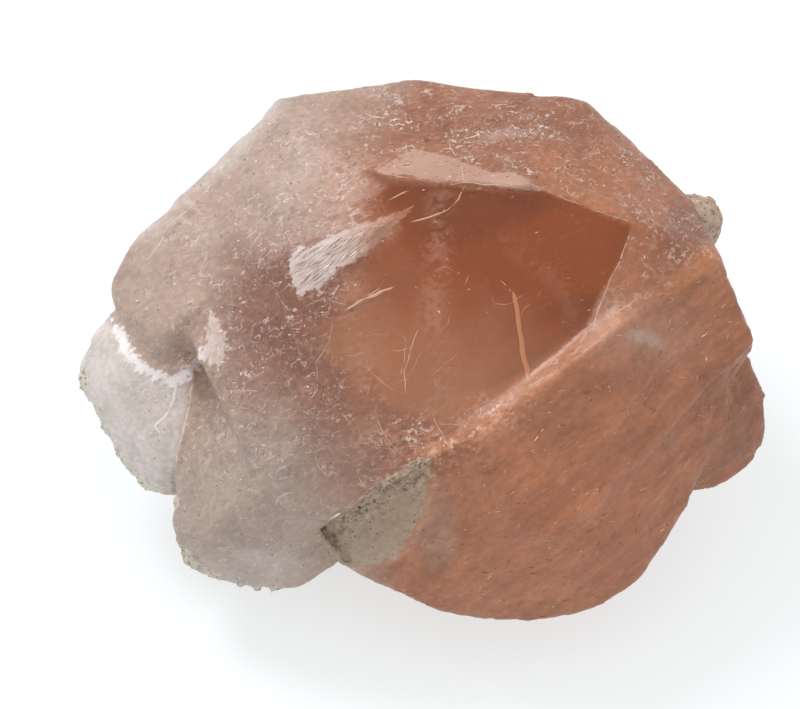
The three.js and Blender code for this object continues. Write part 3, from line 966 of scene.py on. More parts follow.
@dataclass
class FaceFrame:
    """Turns places from the broad face's axes, in millimetres, to the frame, in metres."""

    form: StoneForm
    shift: Vector = field(default_factory=lambda: Vector((0, 0, 0)))

    def turned(self, points: Array) -> Array:
        """The points turned upright, in metres, before they are set down."""
        lean = math.radians(self.form.face_lean)
        c, s = math.cos(lean), math.sin(lean)
        u, v, w = points.T
        return MM * np.column_stack([u, v * s - w * c, v * c + w * s])

    def set_down(self, points: Array) -> None:
        """Finds the shift that puts these points where the frame's solid stands."""
        low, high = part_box(NODE)
        placed = self.turned(points)
        mid = (placed.min(axis=0) + placed.max(axis=0)) / 2
        middle = (low + high) / 2
        self.shift = Vector((middle.x - mid[0], middle.y - mid[1], low.z - placed[:, 2].min()))

    def place(self, points: Array) -> Array:
        """The points where they belong in the frame, in metres."""
        return self.turned(points) + np.array(self.shift)

    def point(self, u: float, v: float, w: float) -> Vector:
        """One place of the face, in the frame."""
        return Vector(self.place(np.array([[u, v, w]]))[0])


# Nodes and meshes


def add_node(
    tree: Tree,
    kind: str,
    settings: dict[str, object] | None = None,
    inputs: dict[str | int, object] | None = None,
) -> bpy.types.Node:
    """Adds a node with its settings, and fills or links its inputs.

    Args:
        tree: the tree that gets the node.
        kind: the node's type name.
        settings: the node's own properties.
        inputs: a value or another node's output for each input's name or number.

    Returns:
        The new node.
    """
    node = tree.nodes.new(kind)
    for name, value in (settings or {}).items():
        setattr(node, name, value)
    for key, value in (inputs or {}).items():
        if isinstance(value, Socket):
            tree.links.new(value, node.inputs[key])
        else:
            node.inputs[key].default_value = value
    return node


def worked(tree: Tree, kind: str, how: str, *values: object) -> Socket:
    """Works values together with one Math or VectorMath node, and gives what comes out."""
    settings = {"operation": how}
    return add_node(tree, f"ShaderNode{kind}", settings, dict(enumerate(values))).outputs[0]


def make_object(name: str, points: Array, faces: list | Array) -> Object:
    """Makes a mesh object at the origin from points in metres."""
    mesh = bpy.data.meshes.new(name)
    mesh.from_pydata(points.tolist(), [], faces.tolist() if isinstance(faces, Array) else faces)
    mesh.validate()
    made = bpy.data.objects.new(name, mesh)
    bpy.context.scene.collection.objects.link(made)
    return made


def store(mesh: bpy.types.Mesh, name: str, values: Array) -> None:
    """Stores a number, or three for a direction or a colour, at each of the mesh's points."""
    if values.ndim == 1:
        mesh.attributes.new(name, "FLOAT", "POINT").data.foreach_set("value", values)
        return
    made = mesh.attributes.new(name, "FLOAT_VECTOR", "POINT")
    made.data.foreach_set("vector", values.ravel())


# Finishes


def new_finish(name: str) -> tuple[Material, Tree]:
    """A material with an empty node tree."""
    made = bpy.data.materials.new(name)
    made.use_nodes = True
    made.node_tree.nodes.clear()
    return made, made.node_tree


def end_finish(tree: Tree, inputs: dict[str, object], inner: object = None) -> None:
    """Ends a material's tree with a surface of these inputs, and with what fills it if given."""
    ends = {"Surface": add_node(tree, "ShaderNodeBsdfPrincipled", None, inputs).outputs[0]}
    if inner is not None:
        ends["Volume"] = inner
    add_node(tree, "ShaderNodeOutputMaterial", None, ends)


@dataclass
class Paint:
    """A finish being built up in layers, from what the skin stores at its points."""

    tree: Tree
    place: Socket | None

    def read(self, name: str, output: str = "Fac") -> Socket:
        """The value, or the direction or colour, that the mesh stores under a name."""
        return add_node(self.tree, "ShaderNodeAttribute", {"attribute_name": name}).outputs[output]

    def sum(self, kind: str, *values: object) -> Socket:
        """Adds, multiplies or otherwise works out values."""
        return worked(self.tree, "Math", kind, *values)

    def fold(self, kind: str, values: tuple[object, ...]) -> Socket:
        """Works two or more values together, one after another."""
        made = values[0]
        for value in values[1:]:
            made = self.sum(kind, made, value)
        return made

    def times(self, *values: object) -> Socket:
        """Multiplies two or more values."""
        return self.fold("MULTIPLY", values)

    def plus(self, *values: object) -> Socket:
        """Adds two or more values."""
        return self.fold("ADD", values)

    def most(self, *values: object) -> Socket:
        """The greatest of two or more values."""
        return self.fold("MAXIMUM", values)

    def rest(self, value: object) -> Socket:
        """What is left of 1 when a value is taken away."""
        return self.sum("SUBTRACT", 1.0, value)

    def between(self, value: object, low: float, high: float) -> Socket:
        """A soft step from 0 where the value is low to 1 where it is high."""
        settings = {"interpolation_type": "SMOOTHSTEP"}
        inputs = {"Value": value, "From Min": low, "From Max": high}
        return add_node(self.tree, "ShaderNodeMapRange", settings, inputs).outputs[0]

    def turned(self, size: Place, turn: float) -> Socket:
        """The place in steps of size millimetres, turned in the plane of the face."""
        settings = {"rotation_type": "Z_AXIS"}
        inputs = {"Vector": self.place, "Angle": -math.radians(turn)}
        along = add_node(self.tree, "ShaderNodeVectorRotate", settings, inputs).outputs[0]
        return worked(self.tree, "VectorMath", "DIVIDE", along, size)

    def noise(self, size: Place, detail: float = 2.0, turn: float = 0.0) -> Socket:
        """Cloudy noise about as coarse as size."""
        inputs = {"Vector": self.turned(size, turn), "Scale": 1.0, "Detail": detail}
        return add_node(self.tree, "ShaderNodeTexNoise", None, inputs).outputs[0]

    def lay(self, under: object, over: object, *masks: object) -> Socket:
        """Lays one colour over another where the masks' product is 1."""
        inputs = {0: self.times(*masks), 6: under, 7: over}
        return add_node(self.tree, "ShaderNodeMix", {"data_type": "RGBA"}, inputs).outputs[2]

    def shade(self, under: object, pattern: object, amount: object) -> Socket:
        """Darkens a colour where the pattern is under a half, and lightens it over a half."""
        swing = self.times(self.sum("SUBTRACT", pattern, 0.5), amount)
        settings = {"data_type": "RGBA", "blend_type": "MULTIPLY"}
        inputs = {0: 1.0, 6: under, 7: self.plus(swing, 1.0)}
        return add_node(self.tree, "ShaderNodeMix", settings, inputs).outputs[2]

    def mix(self, under: object, over: object, mask: object) -> Socket:
        """Lays one value over another where the mask is 1."""
        inputs = {0: mask, 2: under, 3: over}
        return add_node(self.tree, "ShaderNodeMix", {"data_type": "FLOAT"}, inputs).outputs[0]

@dataclass(frozen=True)
class BerylFinish:
    """Morganite: pink-orange beryl, clear in one window and milky or frosted elsewhere.

    Beryl is a hard glassy crystal. Light goes into its clear part and comes back orange, so
    that part looks deep and dark, while fine cracks and broken skin turn the rest pale and
    soft, with small bright glints where a chip catches the light.
    """

    window_deep: str = "#994c0e"
    window_light: str = "#c28963"
    haze: str = "#cf9c80"
    # The flake's colours: pale frost that is partly a painted reflection, and painted shade for the
    # grooves between its ridges.
    flake: str = "#c9bab3"
    flake_warm: str = "#b28c7a"
    flake_painted_shade: str = "#8f7d74"
    ledge: str = "#cfab98"
    patch: str = "#a3927f"
    patch_light: str = "#b69d88"
    crust: str = "#c6c2ae"
    grit: str = "#5c5044"
    flaky_white: str = "#f2ebec"
    arc: str = "#d9c8be"
    # The next two colours: the pale side of the curled crack edges, partly a painted highlight, and
    # painted shade on their other side.
    curl: str = "#ecdcd2"
    curl_painted_shade: str = "#6d4a3c"
    ior: float = 1.58
    gloss: float = 0.28
    window_clear: float = 0.6
    absorbed: str = "#f0b070"
    density: float = 70.0
    grain_depth: float = 0.1

    def material(self) -> Material:
        """Builds the finish."""
        made, tree = new_finish("beryl")
        place = add_node(tree, "ShaderNodeAttribute", {"attribute_name": "face_place"}).outputs["Vector"]
        p = Paint(tree, place)
        window, etched, crust = p.read("window"), p.read("etched"), p.read("crust")
        lobe = p.between(p.read("lobe_in"), -0.4, 0.8)
        cloud = p.noise((2.6, 2.2, 2.4), 3.0)
        fine = p.noise((0.5, 0.34, 0.4), 2.0, 30)
        fray = p.sum("SUBTRACT", fine, 0.5)
        fibres = p.noise((2.4, 0.5, 0.8), 2.0, 38)
        across, up, _ = add_node(tree, "ShaderNodeSeparateXYZ", None, {0: place}).outputs

        colour = p.shade(p.read("own_colour", "Color"), cloud, 0.55)
        colour = p.shade(colour, fibres, p.times(lobe, 0.5))
        colour = p.shade(colour, p.noise((6.0, 1.3, 2.0), 1.0, 38), p.times(lobe, 0.55))
        arcs = p.between(p.sum("ABSOLUTE", p.sum("SUBTRACT", cloud, 0.5)), 0.02, 0.0)
        colour = p.lay(colour, linear(self.arc), arcs, p.times(p.rest(lobe), 0.22))
        slope = p.plus(p.times(across, 0.45), up, p.times(cloud, 6.0))
        deep = p.lay(linear(self.window_light), linear(self.window_deep), p.between(slope, 0.0, 11.5))
        colour = p.lay(colour, deep, window)
        veils = p.times(p.read("haze"), p.between(p.plus(cloud, p.times(fray, 0.9)), 0.36, 0.66))
        colour = p.lay(colour, linear(self.haze), veils)
        contrast = p.sum("SUBTRACT", p.plus(p.times(etched, 0.8), 0.4), p.times(window, 0.26))
        colour = p.shade(colour, fine, contrast)

        # Curled crack edges in crowds: a pale line, partly a painted highlight where an edge catches
        # light, with painted shade beside it on the other side.
        curl = p.sum("SUBTRACT", p.noise((0.7, 0.46, 0.6), 1.0, 30), 0.5)
        crowd = p.between(p.noise((1.5, 1.1, 1.3), 2.0), 0.46, 0.6)
        crowd = p.times(crowd, p.between(fine, 0.42, 0.55), p.plus(p.times(etched, 1.2), 0.14))
        calm = p.most(p.times(lobe, 0.8), p.times(window, 0.7))
        crowd = p.times(crowd, p.rest(calm))
        lit_side = p.times(p.between(curl, 0.0, 0.02), p.between(curl, 0.1, 0.05))
        shaded_side = p.times(p.between(curl, 0.0, -0.02), p.between(curl, -0.09, -0.04))
        colour = p.lay(colour, linear(self.curl), lit_side, crowd, 0.85)
        colour = p.lay(colour, linear(self.curl_painted_shade), shaded_side, crowd, 0.55)

        ledge = p.between(p.plus(p.read("ledge_in"), p.times(fray, 0.4)), -0.05, 0.08)
        colour = p.lay(colour, linear(self.ledge), ledge, p.plus(p.times(cloud, 0.5), 0.5))

        # The silver flake: pale frost, partly a painted reflection that is brightest at its broad left
        # end, with painted shade in the grooves between its ridges.
        flake = p.between(p.plus(p.read("flake_in"), p.times(fray, 0.9)), -0.08, 0.07)
        ridges = p.noise((2.0, 0.15, 1.0), 2.0, 36)
        frost_and_reflection = p.lay(linear(self.flake), linear(self.flake_warm), p.between(across, -7.0, -2.5))
        frost_and_reflection = p.lay(frost_and_reflection, linear(self.flake_painted_shade), p.between(ridges, 0.46, 0.36), 0.5)
        colour = p.lay(colour, frost_and_reflection, flake, p.mix(0.95, 0.45, p.between(across, -6.5, -2.0)))

        flaky = p.between(p.plus(p.read("flaky_in"), p.times(fray, 1.3)), -0.15, 0.15)
        beside = p.mix(1.0, 0.35, p.between(across, -15.5, -14.8))
        strength = p.times(beside, p.plus(p.times(cloud, 0.7), 0.35))
        colour = p.lay(colour, linear(self.flaky_white), flaky, strength)

        patch = p.between(p.plus(p.read("patch_in"), p.times(fray, 1.1)), -0.12, 0.15)
        smooth_part = p.between(p.plus(across, p.times(up, -0.7), p.times(cloud, 3.0)), 11.0, 14.5)
        gritty = p.lay(linear(self.patch), linear(self.patch_light), smooth_part)
        speckled = p.between(p.plus(up, p.times(across, -0.6), p.times(cloud, 1.5)), -9.4, -7.6)
        gritty = p.shade(gritty, fine, p.plus(p.times(speckled, 1.6), 0.4))
        colour = p.lay(colour, gritty, patch, 0.85)
        crusted = p.between(p.plus(crust, p.times(fray, 1.2)), 0.3, 0.75)
        colour = p.lay(colour, linear(self.crust), crusted, 0.42)
        pits = p.between(fine, 0.4, 0.32)
        gritted = p.most(p.times(crusted, 0.6), p.times(patch, speckled, 0.8))
        colour = p.lay(colour, linear(self.grit), pits, gritted)

        opaque = p.most(flake, flaky, patch, crusted)
        own_clear = p.plus(p.read("clear"), p.times(p.read("behind"), 0.45))
        clear = p.mix(own_clear, self.window_clear, window)
        clear = p.times(clear, p.rest(p.times(opaque, 0.85)))
        step = p.between(p.sum("ABSOLUTE", p.read("lobe_in")), 0.9, 0.3)
        clear = p.times(clear, p.rest(p.times(step, 0.9)))
        rough = p.mix(p.mix(0.42, 0.28, window), 0.62, p.most(patch, crusted))

        height = p.plus(
            p.times(fibres, lobe, 0.8),
            p.times(fine, p.plus(p.times(p.most(patch, crusted, etched, flake), 0.9), 0.2)),
        )
        relief = {"Height": height, "Distance": self.grain_depth * MM, "Strength": 0.9}
        bump = add_node(tree, "ShaderNodeBump", None, relief)
        inputs = {
            "Base Color": colour,
            "Roughness": rough,
            "IOR": self.ior,
            "Specular IOR Level": self.gloss,
            "Transmission Weight": clear,
            "Normal": bump.outputs[0],
        }
        soaked = {"Color": linear(self.absorbed), "Density": self.density}
        end_finish(tree, inputs, add_node(tree, "ShaderNodeVolumeAbsorption", None, soaked).outputs[0])
        return made


@dataclass(frozen=True)
class PlainFinish:
    """One even colour with one roughness, for dark grains and bubbles."""

    name: str
    colour: str
    roughness: float

    def material(self) -> Material:
        """Builds the finish."""
        made, tree = new_finish(self.name)
        inputs = {
            "Base Color": linear(self.colour),
            "Roughness": self.roughness,
            "Specular IOR Level": 0.3,
        }
        end_finish(tree, inputs)
        return made


@dataclass(frozen=True)
class ChipFinish:
    """Freshly broken beryl: chips and cracks of the stone's own colour, with painted glints and shade.

    A broken edge of beryl is like broken glass. A few chips get a painted glint, nearly white, most
    are only a little paler than the stone round them, and some get painted shade, as on the side
    away from the light.
    """

    name: str
    light: str = "#f4e6de"
    dark: str = "#6b4a3b"
    dark_up_to: float = 0.3
    paler_by: float = 0.42
    flashing: float = 0.96

    def material(self) -> Material:
        """Builds the finish."""
        made, tree = new_finish(self.name)
        p = Paint(tree, None)
        own, shade = p.read("own_colour", "Color"), p.read("shade")
        # Painted shade on the chips drawn lowest, a little paler for most, and a painted glint, nearly
        # white, on the highest.
        colour = p.lay(own, linear(self.dark), p.between(shade, self.dark_up_to, 0.0), 0.75)
        painted_glint = p.times(p.between(shade, self.flashing - 0.02, self.flashing), 1 - self.paler_by)
        paler = p.times(p.between(shade, self.dark_up_to, self.flashing), self.paler_by)
        colour = p.lay(colour, linear(self.light), p.plus(paler, painted_glint))
        inputs = {"Base Color": colour, "Roughness": 0.35, "Specular IOR Level": 0.4}
        end_finish(tree, inputs)
        return made


# Pieces


@dataclass
class StoneSkin:
    """The stone itself, as one closed skin."""

    skin: FineSkin
    finish: BerylFinish
    stand: FaceFrame

    def build(self) -> tuple[Object, Array]:
        """Wraps the stone, colours it and sets it down.

        Returns:
            The stone, and its points in the face's axes in millimetres.
        """
        points, squares = self.skin.wrap()
        self.stand.set_down(points)
        made = make_object("stone", self.stand.place(points), squares)
        for name, values in self.skin.surface.attributes(points).items():
            store(made.data, name, values)
        made.data.shade_smooth()
        made.data.materials.append(self.finish.material())
        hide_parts(NODE)
        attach(made, BODY)
        LOG.info("stone: %d points, %d squares", len(points), len(squares))
        return made, points


@dataclass
class Threads:
    """Thin threads that lie along the stone's face: healed cracks, ridges, dark cracks and a painted
    shadow line, tubes.

    Shade is how pale they are beside the stone round them, from 0 for dark to 1 for white.
    """

    name: str
    lines: list[Line]
    shade: float
    finish: Material
    skin: FineSkin
    stand: FaceFrame
    proud: float = 0.35
    uneven: float = 0.7
    wander: float = 0.09
    step: float = 0.13
    highest: float = 14.0
    lowest: float = -2.0
    drop: float = 0.4
    cliff: float = 0.3
    taper: float = 0.5
    fewest: int = 4
    halvings: int = 7

    def on_face(self, across_up: Array) -> tuple[Array, Array]:
        """Finds the stone's face straight behind these places across and up.

        Returns:
            The places of the face, and whether there is any face at each one.
        """
        levels = np.arange(self.highest, self.lowest, -self.drop)
        count = len(across_up)
        grid = np.column_stack([np.repeat(across_up, len(levels), axis=0), np.tile(levels, count)])
        solid = (self.skin.in_parts(grid) < 0).reshape(count, len(levels))
        low = levels[solid.argmax(axis=1)]
        high = low + self.drop
        for _ in range(self.halvings):
            middle = (low + high) / 2
            is_in = self.skin.in_parts(np.column_stack([across_up, middle])) < 0
            low, high = np.where(is_in, middle, low), np.where(is_in, high, middle)
        return np.column_stack([across_up, low]), solid.any(axis=1)

    def runs(self, line: Line, seed: int) -> list[tuple[Array, Array]]:
        """The stretches of a line that lie on the face without a gap or a cliff.

        Args:
            line: its path across the face, and half its width.
            seed: picks how it wanders.

        Returns:
            For each stretch its middle points, and the direction across it at each one.
        """
        path = np.array(line.path)
        far = np.concatenate([[0], np.cumsum(np.linalg.norm(np.diff(path, axis=0), axis=1))])
        at = np.linspace(0, far[-1], max(self.fewest, int(far[-1] / self.step)))
        middle = np.column_stack([np.interp(at, far, path[:, k]) for k in range(2)])
        along = np.gradient(middle, axis=0)
        along /= np.linalg.norm(along, axis=1)[:, None]
        across = np.column_stack([-along[:, 1], along[:, 0]])
        sway = waves(np.column_stack([middle, np.full(len(at), float(seed))]), 0.7, 95)
        places, there = self.on_face(middle + across * (self.wander * sway)[:, None])
        cliff = np.abs(np.diff(places[:, 2])) > self.cliff
        broken = cliff | ~there[1:] | ~there[:-1]
        edges = np.concatenate([[0], np.flatnonzero(broken) + 1, [len(at)]])
        across = np.column_stack([across, np.zeros(len(at))])
        spans = [(a, b) for a, b in zip(edges, edges[1:]) if b - a >= self.fewest and there[a]]
        return [(places[a:b], across[a:b]) for a, b in spans]

    def sweep(self, middle: Array, across: Array, wide: float) -> tuple[Array, list]:
        """One thread of four sides, with its own faces numbered from 0."""
        count = len(middle)
        at = np.arange(count) * self.step
        ends = np.minimum(1, np.minimum(at, at[::-1]) / self.taper + 0.15)
        uneven = np.clip(1 - 0.3 * self.uneven + self.uneven * waves(middle, 0.5, 96), 0.2, 1.4)
        width = (wide * ends * uneven)[:, None]
        side = across * width
        out = np.array([[0, 0, self.proud]]) * width
        rings = np.stack([middle + side, middle + out, middle - side, middle - out], axis=1)
        faces = []
        for i in range(count - 1):
            for k in range(4):
                n = (k + 1) % 4
                faces.append((4 * i + k, 4 * i + 4 + k, 4 * i + 4 + n, 4 * i + n))
        faces.append((0, 1, 2, 3))
        faces.append(tuple(4 * (count - 1) + k for k in (3, 2, 1, 0)))
        return rings.reshape(-1, 3), faces

    def build(self) -> Object:
        """Makes all the threads as one piece."""
        points, faces, first = [], [], 0
        for seed, line in enumerate(self.lines):
            for middle, across in self.runs(line, seed):
                swept, own = self.sweep(middle, across, line.wide)
                points.append(swept)
                faces += [tuple(first + k for k in face) for face in own]
                first += len(swept)
        places = np.concatenate(points)
        made = make_object(self.name, self.stand.place(places), faces)
        surface = self.skin.surface
        window = surface.window(places)[:, None]
        own = (1 - window) * surface.colour(places)[:, :3] + window * np.array(linear(IN_WINDOW)[:3])
        store(made.data, "own_colour", own)
        store(made.data, "shade", np.full(len(places), self.shade))
        made.data.materials.append(self.finish)
        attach(made, BODY)
        LOG.info("%s: %d faces", self.name, len(faces))
        return made


@dataclass
class HairCracks:
    """Hair-fine healed cracks that wander over the milky parts of the face."""

    seed: int = 5
    step: float = 0.4
    turn: float = 0.28
    fields: list[tuple[Point, Point, int]] = field(
        default_factory=lambda: [
            ((-4, -3.0), (3.2, 2.6), 30),
            ((-9.5, 1.5), (2.6, 4.5), 30),
            ((-11, -8.5), (3.0, 3.2), 20),
            ((6, 14.8), (6.5, 1.2), 18),
            ((-13, 9), (3.0, 3.0), 12),
            ((2, 3), (2.6, 3.6), 12),
        ]
    )

    def lines(self) -> list[Line]:
        """Draws the cracks: each one keeps its heading and turns a little at every step."""
        draw = np.random.default_rng(self.seed)
        made = []
        for middle, reach, count in self.fields:
            for _ in range(count):
                at = draw.normal(middle, reach)
                heading = draw.uniform(0, 2 * math.pi)
                path = [tuple(at)]
                for _ in range(draw.integers(2, 8)):
                    heading += draw.normal(0, self.turn)
                    at = at + self.step * np.array([math.cos(heading), math.sin(heading)])
                    path.append(tuple(at))
                made.append(Line(path, draw.uniform(0.015, 0.035)))
        return made


@dataclass
class Bit:
    """A small bit that is scattered: its length, width and thickness, and how far it bends."""

    shape: Place
    bend: float
    smallest: float
    largest: float
    along: Place = (0.0, 0.0, 0.0)
    stray: float = 1.0


@dataclass
class Scatter:
    """Small bits set on or in the stone by Geometry Nodes, and made one plain mesh."""

    name: str
    bit: Bit
    finish: Material
    seed: int
    shade_seed: int = 7

    def lens(self, tree: Tree, given: object) -> Socket:
        """One bit: a bent lens with twenty facets, with named inputs for its shape."""
        ball = add_node(tree, "GeometryNodeMeshIcoSphere", None, {"Radius": 1.0, "Subdivisions": 1})
        at = add_node(tree, "GeometryNodeInputPosition").outputs[0]
        parts = add_node(tree, "ShaderNodeSeparateXYZ", None, {0: at}).outputs
        square = worked(tree, "Math", "MULTIPLY", parts[0], parts[0])
        bent = worked(tree, "Math", "MULTIPLY", square, given["Bend"])
        flat = worked(tree, "VectorMath", "MULTIPLY", at, given["Shape"])
        aside = add_node(tree, "ShaderNodeCombineXYZ", None, {1: bent})
        whole = worked(tree, "VectorMath", "ADD", flat, aside.outputs[0])
        inputs = {"Geometry": ball.outputs[0], "Position": whole}
        return add_node(tree, "GeometryNodeSetPosition", None, inputs).outputs[0]

    def tree(self, on_faces: bool) -> Tree:
        """The tree that sets a bit on each of the mesh's points, or over its faces.

        Args:
            on_faces: whether the bits are spread over faces, as thickly as "spread" says.

        Returns:
            The tree, with named inputs for how many, how large, which way and which draw.
        """
        tree = bpy.data.node_groups.new(self.name, "GeometryNodeTree")
        kinds = {
            "Geometry": "Geometry", "Per Area": "Float", "Smallest": "Float", "Largest": "Float",
            "Shape": "Vector", "Bend": "Float", "Along": "Vector", "Stray": "Float", "Seed": "Int",
            "Finish": "Material",
        }
        for name, kind in kinds.items():
            tree.interface.new_socket(name, in_out="INPUT", socket_type=f"NodeSocket{kind}")
        tree.interface.new_socket("Geometry", in_out="OUTPUT", socket_type="NodeSocketGeometry")
        given = add_node(tree, "NodeGroupInput").outputs
        points = given["Geometry"]
        if on_faces:
            stored = add_node(tree, "GeometryNodeInputNamedAttribute", None, {"Name": "spread"}).outputs[0]
            thick = worked(tree, "Math", "MULTIPLY", stored, given["Per Area"])
            inputs = {"Mesh": points, "Density": thick, "Seed": given["Seed"]}
            sown = add_node(tree, "GeometryNodeDistributePointsOnFaces", None, inputs)
            points = sown.outputs["Points"]
        drawn = "FunctionNodeRandomValue"
        span = {2: given["Smallest"], 3: given["Largest"], "Seed": given["Seed"]}
        size = add_node(tree, drawn, {"data_type": "FLOAT"}, span).outputs[1]
        draw = {0: (-1, -1, -1), 1: (1, 1, 1), "Seed": given["Seed"]}
        aim = add_node(tree, drawn, {"data_type": "FLOAT_VECTOR"}, draw).outputs[0]
        astray = {0: aim, "Scale": given["Stray"]}
        aim = add_node(tree, "ShaderNodeVectorMath", {"operation": "SCALE"}, astray).outputs[0]
        aim = worked(tree, "VectorMath", "ADD", aim, given["Along"])
        align = "FunctionNodeAlignRotationToVector"
        along = {"Vector": aim}
        if on_faces:
            upright = add_node(tree, align, {"axis": "Z"}, {"Vector": sown.outputs["Normal"]})
            along["Rotation"] = upright.outputs[0]
        pivot = "Z" if on_faces else "AUTO"
        turn = add_node(tree, align, {"axis": "X", "pivot_axis": pivot}, along).outputs[0]
        inputs = {"Points": points, "Instance": self.lens(tree, given), "Rotation": turn, "Scale": size}
        held = add_node(tree, "GeometryNodeInstanceOnPoints", None, inputs).outputs[0]
        number = add_node(tree, drawn, {"data_type": "FLOAT"}, {"Seed": self.shade_seed}).outputs[1]
        settings = {"data_type": "FLOAT", "domain": "INSTANCE"}
        inputs = {"Geometry": held, "Name": "shade", "Value": number}
        held = add_node(tree, "GeometryNodeStoreNamedAttribute", settings, inputs).outputs[0]
        real = add_node(tree, "GeometryNodeRealizeInstances", None, {0: held}).outputs[0]
        inputs = {"Geometry": real, "Material": given["Finish"]}
        dressed = add_node(tree, "GeometryNodeSetMaterial", None, inputs)
        add_node(tree, "NodeGroupOutput", None, {0: dressed.outputs[0]})
        return tree

    def build(self, base: Object, on_faces: bool, per_mm2: float = 0) -> Object:
        """Sets the bits on a base object and keeps them as a plain mesh.

        Args:
            base: holds the points or faces, and is taken away afterwards.
            on_faces: whether the bits are spread over the base's faces.
            per_mm2: how many to a square millimetre of faces.

        Returns:
            The finished piece.
        """
        tree = self.tree(on_faces)
        live = base.modifiers.new(self.name, "NODES")
        live.node_group = tree
        sockets = {s.name: s.identifier for s in tree.interface.items_tree if s.in_out == "INPUT"}
        given = {
            "Per Area": per_mm2 / MM**2, "Smallest": self.bit.smallest * MM,
            "Largest": self.bit.largest * MM, "Shape": self.bit.shape, "Bend": self.bit.bend,
            "Along": self.bit.along, "Stray": self.bit.stray, "Seed": self.seed,
            "Finish": self.finish,
        }
        for name, value in given.items():
            live[sockets[name]] = value
        seen = base.evaluated_get(bpy.context.evaluated_depsgraph_get())
        mesh = bpy.data.meshes.new_from_object(seen)
        mesh.name = self.name
        bpy.data.objects.remove(base)
        made = bpy.data.objects.new(self.name, mesh)
        bpy.context.scene.collection.objects.link(made)
        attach(made, BODY)
        LOG.info("%s: %d faces", self.name, len(mesh.polygons))
        return made


@dataclass
class InnerGlints:
    """The tiny bright bubbles and flakes inside the clear window."""

    form: StoneForm
    stand: FaceFrame
    count: int = 1400
    seed: int = 11
    least_depth: float = 0.25
    low: Place = (-6, -7, 5)
    high: Place = (14, 11.5, 11)
    tries: int = 8

    def build(self) -> Object:
        """Sets the glints where the stone is clear, thickest along the pale veils."""
        draw = np.random.default_rng(self.seed)
        places = draw.uniform(self.low, self.high, (self.count * self.tries, 3))
        veils = np.min([line_distance(veil.path, places) / veil.wide for veil in HAZE], axis=0)
        kept = draw.random(len(places)) < 0.14 + 0.86 * np.exp(-(veils**2))
        kept &= self.form.distance(places) < -self.least_depth
        kept &= draw.random(len(places)) < smooth(4, 10.5, places[:, 2]) + 0.05
        places = places[kept][: self.count]
        base = make_object("glint_places", self.stand.place(places), [])
        finish = PlainFinish("glint_white", "#fff4ea", 0.25).material()
        bit = Bit((1.0, 0.6, 0.4), 0.2, 0.02, 0.06)
        return Scatter("inner_glints", bit, finish, self.seed).build(base, False)


